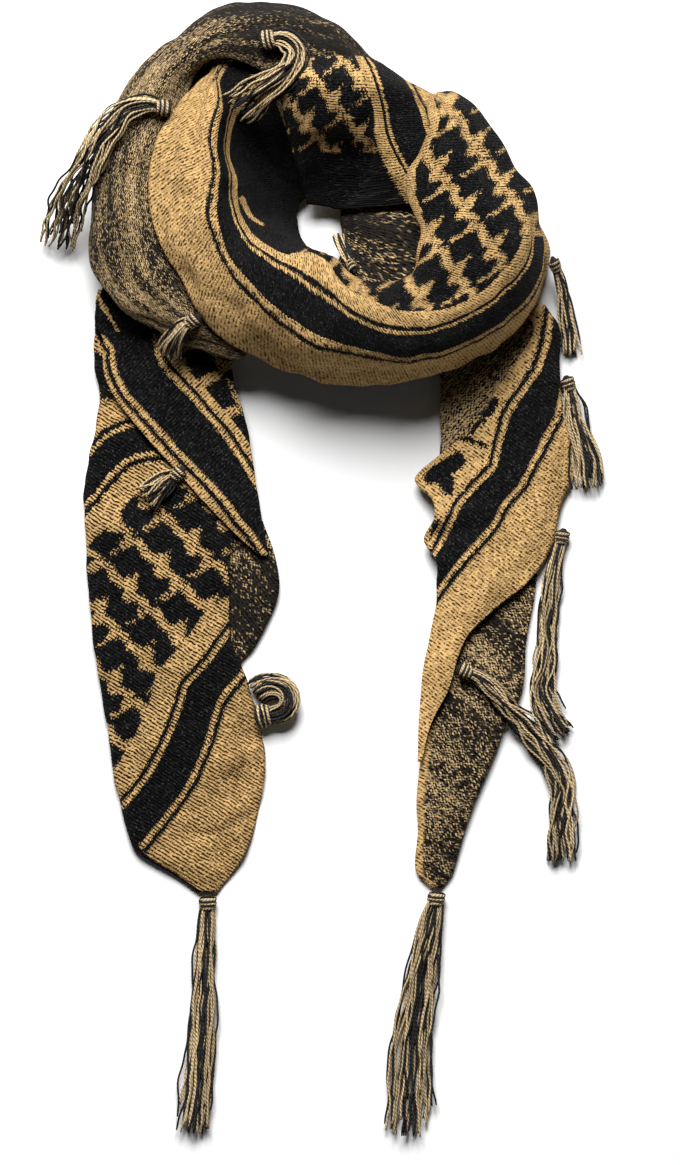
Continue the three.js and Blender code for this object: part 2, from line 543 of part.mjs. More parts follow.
// One lock of yarn: a thin tapered prism along its own line in the hank. Inside the head it runs
// beside the others, and past it the hank widens to the end and flattens on the table.
function lock(curve, index, count, neckWidth, endWidth, flatness) {
  const reach = Math.sqrt((index + 0.5) / count);
  const angle = index * GOLDEN_ANGLE;
  const lacks = LOCK_UNEVENNESS * Math.abs(Math.sin(LOCK_SCATTER * index));
  const steps = curve.points.length - 1;
  const points = [];
  for (let step = 0; step <= steps; step += 1) {
    const share = step / steps;
    const { point, side, lift } = routeFrame(curve, step === steps ? 1 - lacks / steps : share);
    const width = mix(neckWidth, endWidth, share) - 2 * LOCK_ROOT_RADIUS;
    const endDepth = Math.max(neckWidth, endWidth * flatness);
    const depth = mix(neckWidth, endDepth, share) - 2 * LOCK_ROOT_RADIUS;
    const radius = step === steps ? LOCK_END_RADIUS : mix(LOCK_ROOT_RADIUS, LOCK_RADIUS, share);
    point.z = Math.max(point.z, depth / 2 + LOCK_RADIUS + TABLE_CLEARANCE);
    const centre = point
      .addScaledVector(side, (reach * Math.cos(angle) * width) / 2)
      .addScaledVector(lift, (reach * Math.sin(angle) * depth) / 2);
    for (let corner = 0; corner < LOCK_SIDES; corner += 1) {
      const turn = (corner * 2 * Math.PI) / LOCK_SIDES + Math.PI / 2;
      points.push(centre.clone()
        .addScaledVector(side, radius * Math.cos(turn))
        .addScaledVector(lift, radius * Math.sin(turn)));
    }
  }
  const last = steps * LOCK_SIDES;
  const triangles = [[0, 1, 2], [last, last + 2, last + 1]];
  for (let step = 0; step < steps; step += 1) {
    for (let corner = 0; corner < LOCK_SIDES; corner += 1) {
      const a = step * LOCK_SIDES + corner;
      const b = step * LOCK_SIDES + ((corner + 1) % LOCK_SIDES);
      triangles.push([a, a + LOCK_SIDES, b + LOCK_SIDES], [a, b + LOCK_SIDES, b]);
    }
  }
  return solidGeometry(points, triangles);
}

// The head: yarn wound round the neck of the hank, lying along its first stretch.
function tasselHead(curve) {
  const { point, forward } = routeFrame(curve, 0);
  const head = new THREE.SphereGeometry(1, TASSEL_HEAD_SIDES, TASSEL_HEAD_RINGS);
  head.scale(TASSEL_HEAD_RADIUS, TASSEL_HEAD_LENGTH / 2, TASSEL_HEAD_RADIUS);
  const turn = new THREE.Quaternion().setFromUnitVectors(new THREE.Vector3(0, 1, 0), forward);
  head.applyQuaternion(turn);
  head.translate(point.x, point.y, point.z);
  return head;
}

function tassel([name, locks, neckWidth, endWidth, flatness, route]) {
  const curve = smoothCurve(route.map((point) => new THREE.Vector3(...point)));
  let body = manifoldOf(tasselHead(curve));
  for (let index = 0; index < locks; index += 1) {
    body = body.add(manifoldOf(lock(curve, index, locks, neckWidth, endWidth, flatness)));
  }
  return node(name, geometryOf(body), mixedKnit());
}

// ---------------------------------------------------------------- the scarf
function node(name, geometry, material) {
  const mesh = new THREE.Mesh(geometry, material);
  mesh.name = name;
  return mesh;
}

const scarf = new THREE.Group();
scarf.add(
  node("hidden_layers", heap(HIDDEN_LAYERS), blackKnit()),
  node("back_wrap", clothWall(ringGrid(BACK_WRAP)), mixedKnit()),
  node("crossing_wrap", clothWall(pointGrid(CROSSING_WRAP)), blackKnit()),
  node("well_wrap", clothWall(ringGrid(WELL_WRAP)), mixedKnit()),
  node("front_wrap", clothWall(ringGrid(FRONT_WRAP)), tanKnit()),
  node("left_under", slab(LEFT_UNDER), mixedKnit()),
  node("left_panel", clothWall(endGrid(LEFT_PANEL)), tanKnit()),
  node("left_flap", clothWall(endGrid(LEFT_FLAP)), blackKnit()),
  node("right_under", slab(RIGHT_UNDER), mixedKnit()),
  node("right_upper", clothWall(endGrid(RIGHT_UPPER)), mixedKnit()),
  node("right_panel", clothWall(endGrid(RIGHT_PANEL)), tanKnit()),
  ...TASSELS.map(tassel),
);

export default scarf;
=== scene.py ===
import math

import bpy
import numpy as np
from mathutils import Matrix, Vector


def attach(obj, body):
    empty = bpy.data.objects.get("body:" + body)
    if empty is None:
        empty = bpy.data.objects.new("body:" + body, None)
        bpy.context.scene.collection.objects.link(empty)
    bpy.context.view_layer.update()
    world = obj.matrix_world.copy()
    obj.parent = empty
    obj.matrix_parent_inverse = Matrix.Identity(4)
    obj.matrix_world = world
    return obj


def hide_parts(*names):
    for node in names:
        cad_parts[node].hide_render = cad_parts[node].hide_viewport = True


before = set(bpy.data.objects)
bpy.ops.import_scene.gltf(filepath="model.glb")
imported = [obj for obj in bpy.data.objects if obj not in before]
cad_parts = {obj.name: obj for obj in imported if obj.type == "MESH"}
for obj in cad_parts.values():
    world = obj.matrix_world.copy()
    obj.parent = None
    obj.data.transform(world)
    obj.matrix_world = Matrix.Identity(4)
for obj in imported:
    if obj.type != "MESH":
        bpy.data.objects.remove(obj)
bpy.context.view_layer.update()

MM = 0.001

# ---------------------------------------------------------------- driving sizes
CLOTH_THICKNESS = 2.4
NECK = np.array([-3.5, 248.5])        # middle of the neck opening
WALE = 2.3                            # width of a stitch, along the hem
COURSE = 2.05                         # height of a stitch, across the hem
WAVE_SEED = 7

# Distances from the hem at which the border changes colour.
HEM_END = 52.0
FIRST_LINE_END = 55.5
WIDE_BAND_START = 59.0
WIDE_BAND_MIDDLE = 73.0
WIDE_BAND_END = 87.0
SECOND_LINE_START = 90.5
SECOND_LINE_END = 94.0
NET_START = 110.0
WIDE_BAND_HALF = WIDE_BAND_END - WIDE_BAND_MIDDLE
BLACK_BANDS = [(HEM_END, FIRST_LINE_END), (WIDE_BAND_START, WIDE_BAND_END),
               (SECOND_LINE_START, SECOND_LINE_END)]

# The net's repeat: two steps, and its tan strokes as (towards the hem, along the hem) points
NET_STEPS = np.array([[46.0, 4.8], [-7.2, 26.4]])
NET_STROKES = [
    # half width, points
    (2.2, [(-30.2, 5), (-28, -1), (-23.5, -4)]),
    (2.9, [(-21.5, -3), (-14.5, 0.5), (-7.2, 0)]),
    (4.3, [(-3, -4.6), (1.2, 4.4)]),
    (2.5, [(1.2, 4.4), (6, 1.5), (13.5, 0.5)]),
    (2.2, [(13.5, 0.5), (15.8, 9.8)]),
    (1.3, [(15.8, 9.8), (15, 15), (12.5, 19.5)]),
    (1.2, [(-3, -7.8), (-3.6, -12)]),
]
NET_REACH = 2                         # repeats looked at on each side of a point
ON_NET, BESIDE_NET = -2.0, 9.0        # distances that are surely tan and surely black
# Charts of the net in plan: where one starts, the way to the hem, scales that way and along the
# hem, and how much wider the strokes are. On the ring and in the neck it is seen foreshortened.
FRONT_WRAP_NET = [(104.6, 294.7), (0.69, -0.72), (1.4, 0.88), 1.1]
CROSSING_WRAP_NET = [(6.3, 325.5), (0.75, -0.66), (1.6, 1.15), 1.4]
LEFT_PANEL_NET = [(-113.4, 2.4), (0.787, -0.617), (1, 1), 1]
LEFT_FLAP_NET_START = np.array([20.0, 10.0])
# The way to the hem of the knit's stitches, in plan
LEFT_PANEL_HEADING = (0.85, -0.53)
LEFT_FLAP_HEADING = (-0.72, -0.69)
LEFT_UNDER_HEADING = (0.6, -0.8)
RIGHT_UPPER_HEADING = (0.67, 0.74)
RIGHT_HEADING = (0.8, -0.6)
RIPPLE_LENGTHS = (58, 37, 23, 15)

# ---------------------------------------------------------------- the ring's tables
# azimuth, then radius and height at each station
FRONT_WRAP_FROM_HEM = [0, 52, 87, 110, 150, 205, 235]
FRONT_WRAP = [
    [112, 138, 34, 124, 42, 108, 44, 94, 40, 72, 30, 42, 16, 18, 8],
    [120, 136, 40, 125, 47, 106, 48, 92, 43, 70, 31, 42, 16, 18, 8],
    [127, 125, 53, 118, 58, 100, 52, 88, 45, 68, 31, 42, 16, 17, 8],
    [134, 124, 59, 103, 73, 94, 56, 84, 45, 66, 30, 41, 15, 16, 8],
    [146, 124, 59.5, 92, 78, 82, 60, 74, 46, 58, 29, 36, 14, 16, 8],
    [158, 123, 59.5, 79, 80, 70, 60, 63, 45, 48, 27, 31, 13, 16, 7],
    [170, 121, 59.5, 77, 81, 67, 62, 58, 46, 44, 27, 29, 13, 16, 7],
    [182, 117, 59.5, 77, 82, 62, 67, 54, 48, 42, 27, 28, 13, 16, 7],
    [194, 111, 58.5, 75, 82, 58, 72, 48, 54, 38, 30, 26, 13, 16, 7],
    [206, 107, 58.5, 75, 82, 55, 78, 44, 62, 34, 34, 25, 14, 17, 7],
    [218, 108, 55.5, 74, 81, 52, 81, 40, 68, 31, 38, 25, 15, 19, 7],
    [230, 109, 52, 75, 80, 50, 82, 36, 71, 29, 42, 26, 17, 22, 7],
    [242, 109, 46, 78, 79, 49, 83, 34, 73, 28, 44, 27, 18, 25, 7],
    [254, 110, 37, 83, 77, 51, 83, 32, 75, 28, 45, 29, 19, 29, 7],
    [266, 114, 30, 90, 76, 57, 84, 32, 77, 29, 46, 32, 20, 33, 8],
    [278, 119, 28, 98, 74, 66, 85, 37, 80, 30, 56, 36, 34, 42, 20],
    [290, 125, 28, 107, 73, 82, 85, 57, 85, 38, 70, 41, 52, 50, 40],
    [302, 134, 28, 120, 70, 100, 84, 76, 87, 57, 76, 57, 58, 67, 47],
    [314, 145, 27, 132, 66, 115, 82, 98, 88, 73, 80, 70, 62, 80, 51],
    [326, 156, 26, 147, 59, 129, 77, 116, 85, 88, 84, 78, 67, 87, 56],
    [338, 163, 22, 157, 50, 141, 71, 130, 81, 99, 86, 75, 70, 83, 60],
    [350, 161, 14, 159, 42, 151, 63, 140, 78, 109, 86, 74, 68, 82, 58],
    [358, 150, 7, 152, 32, 150, 54, 143, 69, 112, 85, 68, 67, 76, 57],
    [366, 136, 4, 144, 24, 146, 46, 142, 62, 110, 84, 64, 67, 72, 58],
    [374, 126, 4, 133, 22, 137, 44, 134, 60, 107, 83, 64, 67, 72, 58],
    [386, 118, 4, 126, 22, 130, 43, 129, 58, 106, 81, 71, 68, 79, 60],
    [396, 115, 4, 122, 21, 127, 41, 127, 57, 113, 76, 97, 73, 101, 65],
    [402, 112, 4, 118, 20, 124, 38, 124, 53, 115, 69, 102, 67, 105, 60],
    [406, 110, 4, 114, 16, 118, 32, 119, 44, 114, 55, 108, 55, 108, 50],
]

FRONT_WRAP_REACH, BACK_WRAP_REACH = 140.0, 150.0     # radii that make azimuths lengths
RING_FOCUS, HEAP_FOCUS = -10.0, -60.0  # heights in the neck's axis: outward is away from them
FRONT_WRAP_BORDER_END = 354.0         # azimuth past which the border lies under the net
FRONT_WRAP_PAINTED_SHADE_END = 236            # azimuth before which the net is painted black, as shade inside the neck
# The tan rim at the neck: the azimuth at which it starts, the distance from the hem at which it
# ends, and the distances at which it begins, by azimuth
FRONT_WRAP_RIM_START, FRONT_WRAP_RIM_END = 262, 212
FRONT_WRAP_RIM = [(350, 385, 406), (198, 192, 170)]
# Distances from the hem on this stretch, and what they count as: its first line is wider.
FRONT_WRAP_WIDENED = [(0, 49.5, 53.8, WIDE_BAND_START, 400),
                      (0, HEM_END, FIRST_LINE_END, WIDE_BAND_START, 400)]

BACK_WRAP_FROM_HEM = [0, 40, 75, 105, 135, 165]
BACK_WRAP = [
    [66, 100, 4, 111, 20, 109, 36, 102, 46, 94, 49, 86, 48],
    [76, 108, 4, 119, 22, 116, 40, 107, 50, 98, 53, 89, 51],
    [86, 121, 4, 131, 24, 127, 44, 115, 54, 103, 55, 92, 52],
    [98, 136, 4, 146, 26, 140, 48, 125, 58, 109, 56, 96, 52],
    [110, 144, 4, 154, 26, 148, 49, 133, 61, 117, 60, 103, 54],
    [120, 149, 4, 159, 27, 153, 50, 141, 62, 131, 63, 124, 60],
    [128, 149, 4, 159, 27, 154, 50, 144, 61, 136, 62, 131, 58],
    [137, 149, 4, 159, 27, 154, 49, 144, 59, 133, 57, 124, 51],
    [148, 150, 4, 160, 27, 155, 48, 142, 58, 126, 56, 112, 51],
    [158, 153, 4, 163, 27, 157, 48, 143, 58, 125, 56, 108, 51],
    [170, 151, 4, 161, 27, 155, 48, 141, 58, 123, 56, 104, 51],
    [182, 148, 4, 158, 27, 152, 48, 138, 58, 120, 56, 101, 51],
    [194, 150, 6, 160, 28, 153, 47, 137, 57, 117, 55, 98, 50],
    [202, 151, 26, 155, 38, 148, 49, 134, 56, 115, 54, 97, 49],
    [210, 144, 34, 146, 42, 139, 49, 127, 54, 111, 52, 95, 47],
    [220, 133, 36, 135, 42, 129, 47, 119, 51, 106, 49, 94, 44],
    [231, 122, 36, 123, 41, 118, 45, 111, 47, 101, 45, 92, 41],
    [242, 112, 34, 113, 38, 109, 41, 104, 42, 97, 40, 90, 37],
]

WELL_WRAP_FROM_HEM = [0, 8, 20, 34, 48]
WELL_WRAP = [
    [293, 58, 30, 52, 30, 46, 26, 40, 19, 35, 10],
    [301, 66, 35, 58, 35, 49, 30, 40, 20, 31, 9],
    [313, 77, 40, 65, 40, 51, 34, 37, 22, 25, 9],
    [326, 86, 44, 71, 45, 53, 38, 34, 23, 20, 9],
    [340, 84, 47, 69, 47, 49, 38, 30, 23, 16, 9],
    [352, 80, 44, 66, 43, 46, 35, 28, 21, 15, 9],
    [364, 77, 35, 63, 34, 44, 27, 27, 17, 15, 8],
    [375, 73, 27, 59, 26.5, 42, 21, 27, 13, 15, 7],
]

# Rows follow the stripes: each has its own distance from the hem, and its stations are points.
CROSSING_WRAP_FROM_HEM = [176, 158, 132, 116, 110, 87, 59, 52, 38, 22]
CROSSING_WRAP = [
    [[-34, 345, 64], [-31, 331, 68], [-28, 314, 60], [-24, 296, 48],
     [-19, 279, 36], [-15, 265, 24], [-13, 256, 17]],
    [[-18, 356, 64], [-15, 340, 76], [-12, 322, 69], [-10, 304, 55],
     [-8, 287, 38], [-7, 270, 23], [-6, 255, 16]],
    [[7, 357, 64], [7, 340, 78], [8, 322, 71], [8, 304, 57],
     [6, 287, 38], [3, 269, 22], [1, 254, 15]],
    [[17, 356, 64], [21, 340, 77], [27, 321, 69], [30, 301, 52],
     [31, 284, 37], [27, 266, 27], [15, 252, 19]],
    [[21, 356, 64], [28, 340, 77], [34, 321, 71], [36, 302, 64],
     [41, 286, 57], [51, 269, 51], [58, 255, 45]],
    [[30, 354, 63], [37, 339, 75], [43, 321, 69], [47, 302, 63],
     [54, 287, 58], [61, 273, 53], [66, 259, 47]],
    [[54, 341, 51], [60, 332, 60], [65, 321, 59], [70, 304, 58],
     [73, 291, 55], [77, 279, 51], [80, 266, 46]],
    [[62, 337, 47], [67, 328, 53], [72, 317, 53], [78, 302, 53],
     [80, 290, 51], [84, 279, 47], [87, 268, 43]],
    [[74, 331, 33], [80, 323, 40], [84, 312, 44], [88, 300, 45],
     [90, 288, 44], [93, 277, 42], [96, 266, 39]],
    [[82, 325, 16], [88, 317, 24], [92, 307, 30], [95, 297, 33],
     [97, 286, 34], [100, 276, 34], [103, 266, 33]],
]

CROSSING_WRAP_PAINTED_SHADE_END = 290           # y below which this stretch is painted black, as shade deep in the neck

HIDDEN_LAYERS_SPACING = 46.0          # between stations, along the cloth
HIDDEN_LAYERS_LIPS = 3
HIDDEN_LAYERS_LIP_DEPTH = 2.5
HIDDEN_LAYERS = [
    [0, 40, 0, 58, 13.5, 102, 40, 124, 28, 126, 0],
    [30, 36, 0, 50, 12, 90, 36, 108, 26, 110, 0],
    [60, 26, 0, 38, 12, 76, 36, 94, 26, 96, 0],
    [90, 24, 0, 40, 12, 90, 34, 112, 24, 114, 0],
    [120, 36, 0, 58, 16, 112, 34, 132, 24, 134, 0],
    [150, 36, 0, 56, 18, 104, 46, 138, 26, 140, 0],
    [180, 34, 0, 52, 20, 92, 48, 136, 26, 138, 0],
    [205, 32, 0, 46, 24, 80, 46, 110, 24, 112, 0],
    [230, 34, 0, 42, 30, 70, 44, 90, 26, 94, 0],
    [255, 38, 0, 42, 32, 64, 56, 88, 30, 94, 0],
    [280, 48, 0, 54, 26, 72, 52, 92, 30, 96, 0],
    [305, 52, 0, 66, 23, 92, 40, 108.2, 24, 108.2, 0],
    [330, 47, 0, 67, 27.5, 106, 46, 122, 26, 120, 0],
    [360, 40, 0, 58, 13.5, 102, 40, 124, 28, 126, 0],
]

# ---------------------------------------------------------------- the ends' tables
# y, then x and height at each station
LEFT_PANEL = [
    [196, -154, 1.8, -157, 5, -151, 8, -145, 9, -138, 9, -132, 8],
    [182, -157, 1.8, -161, 5.5, -154, 9, -146, 10.5, -138, 10, -130, 9],
    [165, -156, 1.8, -161, 6, -154, 11, -146, 12, -138, 11, -130, 9],
    [147, -155, 1.8, -160, 6, -153, 11.5, -142, 12.5, -131, 12, -121, 10],
    [119, -152, 1.8, -157, 6, -149, 12, -134, 13, -116, 11.5, -98, 9.2],
    [91, -158, 1.8, -163, 6.5, -154, 12.5, -130, 13.5, -104, 12.5, -77, 10],
    [63, -162, 1.8, -167, 6.5, -157, 13, -128, 14, -95, 13, -66, 10],
    [35, -162, 1.8, -167, 6.5, -156, 13, -126, 14.5, -92, 13, -63, 9.2],
    [7, -161, 1.8, -166, 6.5, -155, 13, -124, 15, -92, 14, -67, 10.5],
    [-21, -160, 1.8, -165, 6.5, -154, 13, -122, 15.5, -90, 14.5, -67, 10.5],
    [-49, -156, 1.8, -161, 6.5, -150, 13, -119, 15.5, -88, 14.5, -66, 10],
    [-77, -152, 1.8, -157, 6, -146, 12.5, -114, 15, -80, 13.5, -55, 6],
    [-105, -147, 1.8, -152, 6, -141, 12, -107, 14.5, -73, 12, -47, 3],
    [-133, -143, 1.8, -148, 5.5, -138, 11, -103, 13.5, -68, 10.5, -42, 2.4],
    [-161, -138, 1.8, -142.5, 5, -133, 10, -100, 12, -69, 9.5, -45, 2.4],
    [-182, -131, 1.8, -136, 4.5, -127, 9, -99, 10.5, -72, 8.5, -50, 2.2],
    [-199, -120, 1.8, -125, 4, -117, 7.5, -98, 9, -76, 7, -57, 2.2],
    [-213, -101, 1.8, -105, 3.5, -99, 6, -88, 7, -76, 5.5, -66, 2],
    [-225, -86, 1.6, -88, 3, -86, 4.5, -83, 5, -79, 4, -76, 2],
]

LEFT_FLAP = [
    [198, -155, 16, -136, 20, -116, 21.5, -96, 20],
    [182, -160, 15.5, -137, 20.5, -112, 22.5, -86, 19.5],
    [170, -160, 15, -135, 21.5, -106, 23, -77, 19],
    [161, -155, 15.5, -131, 22, -102, 23, -71, 18],
    [147, -155, 16.5, -129, 22, -98, 22.5, -66, 16],
    [133, -153, 17, -128, 21.5, -97, 22, -64, 14],
    [115, -143, 18, -118, 21.5, -89, 21, -59, 12],
    [98, -129, 18.5, -105, 20.5, -80, 19, -54, 11],
    [84, -117, 18.5, -96, 20, -74, 18, -52, 10.5],
    [70, -104, 18.5, -87, 19.5, -69, 17, -50, 10],
    [56, -92, 18, -78, 18.5, -63, 16, -48, 10],
    [38, -75, 16, -65, 16.5, -55, 14, -45, 9.5],
    [24, -61, 12.5, -54, 13, -48, 11.5, -42, 9],
    [10, -46, 9.5, -44, 9.5, -41.5, 9, -39, 8.5],
]

RIGHT_PANEL = [
    [185, 134, 13, 139, 14, 144, 14, 149, 12, 153, 9],
    [171, 146, 13, 151, 14.5, 155, 14, 159, 12, 162, 8],
    [157, 142, 13.5, 149, 15.5, 155, 15.5, 160, 13, 164, 8],
    [140, 129.5, 14, 139, 16.5, 148, 17, 157, 14, 164, 7],
    [119, 115.5, 12.6, 128, 16.5, 141, 17.5, 154, 14, 165, 6.5],
    [98, 102, 12.5, 119, 16.5, 136, 17.5, 154, 14, 170, 6],
    [84, 85, 12, 107, 16, 130, 17.5, 152, 14, 171.5, 5.5],
    [64, 63, 9.5, 92, 15.5, 121, 17.5, 149, 14, 173, 5.5],
    [49, 75, 16, 99, 16, 122, 17, 146, 13.5, 166, 5.5],
    [35, 76, 17, 98, 16.5, 120, 17, 142, 13, 162, 5.5],
    [21, 69, 9.5, 93, 15.5, 116, 17, 139, 13, 160, 5.5],
    [6, 78, 15, 97, 16, 116, 16.5, 135, 13.5, 153, 6.5],
    [-10, 78, 12, 94, 15, 110, 16, 126, 14.5, 140, 11],
    [-24, 78, 11, 90, 14, 101, 15, 112, 14.5, 122.5, 12.5],
    [-43, 74, 11, 81, 13.5, 88, 14.5, 95, 14.5, 101.5, 13],
    [-59, 71, 11, 76.5, 13.5, 82, 14.5, 88, 14.5, 93, 13.5],
    [-84, 67, 11, 72, 13.5, 77, 14.5, 82, 14.5, 86, 14],
    [-108, 66, 11.5, 68, 12.5, 70, 13.5, 72, 14, 74, 14.2],
    [-134, 65.5, 12, 66, 12.3, 66.5, 12.6, 67, 12.8, 67.5, 13],
]

RIGHT_UPPER = [
    [182, 81, 10, 100, 10.5, 122, 10, 145, 8],
    [170, 81, 10, 100, 11, 124, 10, 145, 8],
    [150, 81, 10.5, 100, 12, 120, 11, 139, 8.5],
    [131, 81, 9.5, 98, 11, 115, 10.5, 130, 8.5],
    [112, 81, 8.5, 94, 10, 108, 9.5, 120, 8],
    [98, 81, 8, 92, 9.5, 103, 9, 113, 8],
    [84, 82, 7.5, 89, 8.5, 97, 8.5, 105, 8],
    [72, 84, 7.2, 88, 7.6, 93, 7.6, 98, 7.5],
]

# y, left edge, right edge, height
LEFT_UNDER = [
    [150, -150, -124, 5], [119, -147.5, -84, 7], [77, -155.5, -62, 7], [49, -159.5, -52, 7],
    [28, -159.5, -44, 7], [10, -158, -38, 6], [-14, -157, -35, 6.5], [-36, -154, -43, 6.5],
    [-53, -152, -52, 6], [-66, -150, -61, 6], [-98, -144, -61, 6], [-140, -137, -59, 5.5],
    [-175, -128, -66, 5], [-197, -114, -78, 4.9],
]
RIGHT_UNDER = [
    [112, 91, 150, 5], [84, 82, 156, 5.5], [49, 86, 154, 5.5], [14, 86, 150, 5],
    [-4, 84, 147, 5], [-21, 83, 145, 6], [-49, 78, 140, 7], [-77, 71, 138.5, 8],
    [-94, 69, 133, 8.5], [-108, 68.5, 126, 9], [-122, 68, 121, 9], [-136, 66.5, 115.5, 9],
    [-161, 64, 105, 8.5], [-182, 65, 98, 8], [-203, 63, 92, 7], [-212, 64.5, 89, 6],
    [-222, 74, 82, 4.9],
]

# Where the border runs on the two ends: the middle line of its wide black band, followed with
# the hem on the right. Each row gives x, y and half the band's width there.
LEFT_PANEL_LOWER_BORDER = [
    [-150, -198, 12], [-136, -181, 12], [-122, -164, 12], [-110, -148, 12], [-102, -133, 12],
    [-95, -117, 11.5], [-90, -101, 11], [-86, -87, 11], [-79, -78, 10], [-69, -66, 10],
    [-58, -50, 10],
]
LEFT_PANEL_UPPER_BORDER = [
    [-80, 88, 9], [-108, 91, 9], [-122, 92, 9], [-135, 90, 9], [-146, 85, 9], [-155, 76, 9],
    [-163, 67, 9], [-169, 58, 8.5], [-182, 44, 8],
]
LEFT_FLAP_BORDER = [
    [-168, 197, 7], [-158, 182, 7], [-150, 172, 9], [-140, 165, 12], [-134, 160, 14],
    [-133, 154, 14.5], [-131, 143, 14.5], [-125, 132, 14.5],
    [-115, 121, 14.5], [-104, 109, 14.5], [-92, 95, 14.5], [-80, 82, 14], [-69, 68, 12],
    [-59, 54, 10.5], [-52, 42, 9], [-44, 30, 7], [-36, 16, 6], [-32, 8, 5],
]
RIGHT_PANEL_BORDER = [
    [70, -16, 5], [80, 0, 6], [88, 12, 7], [98, 27, 10], [106, 39, 12], [115, 52, 10],
    [128, 66, 9], [135, 85, 12], [141, 101, 13.5], [148, 113, 13], [157, 135, 8], [163, 158, 6],
    [165, 190, 5],
]
# Above the upper border, the hem shows this far before the next layer's pattern hides it.
LEFT_PANEL_HEM_SHOWN = 16.0
# The left panel's tip rolls over at its left edge, in black: x and y under which, and width.
LEFT_PANEL_ROLL = (-60, -172, 2.6)
# Above its crease the left flap is black, with two tan lines.
LEFT_FLAP_CREASE = 166.0
LEFT_FLAP_SHORTENED = 3.2             # how fast distances grow past the second line, as it dips
LEFT_FLAP_LINES = [
    # x, y at both ends, half width
    [-158, 190, -145, 168, 2.4], [-153, 198, -140, 182, 2.4], [-140, 182, -119, 169, 2.4],
]
# Short black strokes beyond the right end's border: painted shade of a shadow line along its left
# edge and of a pocket in a fold, and black strokes of the net.
RIGHT_PANEL_SHADE_AND_NET_STROKES = [
    [119, 117, 113, 109, 3.2], [113, 109, 103, 96, 2.2], [96, 92, 104, 90, 2.4],
    [104, 90, 111, 87, 1.6], [93, 77, 75, 65, 5.8], [84, 66, 86, 56, 5],
    [78, 32, 75, 13, 3.4],
]
PLAIN_RIM = 3.6                       # tan edge that shows along the right end's lower layer
PLAIN_RIM_TOP = -104                  # y below which it shows
UNDER_TOP = 3.4                       # height above which the lower layers are creased
# Painted shade and painted light on the ring's back: where the reverse is coloured darker or
# lighter to stand for the shading of its creases.
BACK_WRAP_PAINTED_SHADING = [
    # azimuth, distance from the hem, half width, how much painted shade (negative: painted light)
    [84, 70, 90, 1.25], [114, 50, 70, 1.25], [144, 84, 22, -1.0], [122, 100, 20, -0.5],
    [172, 96, 20, -0.4], [182, 50, 50, 0.5], [226, 90, 50, 0.6],
]

# Tan that shows inside the neck: azimuth and distance from the hem at both ends, half width
WELL_STROKES = [
    [171, 114, 183, 124, 6.0], [183, 124, 192, 136, 4.0],
]

# ---------------------------------------------------------------- creases, placed one by one
# On the ring: azimuth and distance from the hem at both ends, half width, depth (out is positive)
FRONT_WRAP_CREASES = [
    [118, 10, 150, 40, 9, -2.2], [132, 30, 172, 58, 8, 1.8], [160, 12, 200, 30, 10, -1.2],
    [205, 8, 232, 34, 9, -1.5], [224, 40, 262, 26, 8, 1.2], [240, 70, 275, 62, 10, -1.4],
    [262, 6, 286, 24, 7, -1.4], [285, 30, 320, 18, 9, -1.2], [300, 70, 345, 84, 9, 1.4],
    [316, 118, 352, 150, 9, -2.4], [328, 172, 380, 160, 9, 1.8], [350, 128, 396, 140, 8, -2.4],
    [384, 176, 408, 150, 8, -1.8], [345, 30, 372, 60, 9, -1.8], [378, 24, 410, 40, 8, 1.6],
    [352, 90, 372, 112, 7, -1.6],
]
BACK_WRAP_CREASES = [
    [70, 60, 100, 110, 9, -2.0], [92, 30, 124, 70, 11, 1.6], [104, 96, 134, 120, 9, -2.2],
    [130, 60, 160, 96, 10, -2.0], [142, 112, 176, 122, 8, 1.4], [150, 24, 180, 40, 10, -1.6],
    [168, 84, 204, 98, 9, -2.0], [184, 36, 206, 66, 9, 1.4], [196, 110, 228, 118, 8, -1.4],
    [212, 62, 238, 84, 8, -1.3], [78, 16, 96, 34, 9, -1.5], [112, 10, 130, 36, 8, -1.6],
]
# On the ends: x and y at both ends, half width, depth
LEFT_PANEL_CREASES = [
    [-160, 96, -128, 62, 7, -1.5], [-150, 40, -112, 20, 9, 1.2], [-96, 30, -78, -30, 8, -1.6],
    [-150, -20, -128, -70, 8, -1.3], [-118, -40, -100, -96, 9, 1.2], [-64, -84, -72, -128, 6, 1.6],
    [-54, -118, -60, -160, 6, -1.6], [-84, -140, -74, -196, 8, -1.4],
    [-136, -110, -120, -160, 8, -1.2], [-100, -176, -84, -214, 6, 1.1],
    [-78, -160, -58, -148, 8, -1.4], [-78, -138, -54, -128, 7, 2.6],
    [-78, -178, -60, -166, 7, 2.2], [-112, -190, -78, -184, 7, -1.4], [-70, -90, -56, -98, 6, 2.0],
]
LEFT_FLAP_CREASES = [
    [-152, 168, -124, 165, 4, -2.2], [-120, 150, -92, 112, 8, 1.2], [-86, 158, -68, 120, 7, -1.6],
    [-100, 96, -66, 58, 7, -1.0], [-138, 190, -110, 150, 7, 1.2],
]
RIGHT_PANEL_CREASES = [
    [160, 150, 150, 96, 5, -1.2], [120, 84, 84, 62, 4, -1.6], [122, 44, 84, 38, 5, 1.4],
    [112, 30, 78, 22, 4, -1.6], [152, 60, 110, 10, 9, -1.3], [146, 26, 104, -26, 8, 1.3],
    [104, 0, 84, -50, 6, -1.5], [92, -44, 76, -96, 5, 1.2], [162, 92, 150, 40, 6, 1.2],
]
RIGHT_UPPER_CREASES = [
    [90, 168, 96, 118, 5, -1.2], [110, 165, 104, 120, 5, 1.1], [124, 160, 112, 100, 5, -1.0],
]
UNDER_CREASES = [
    [112, -70, 96, -170, 6, 1.0], [84, -150, 78, -206, 5, 0.9], [134, -30, 124, -76, 5, 0.9],
]

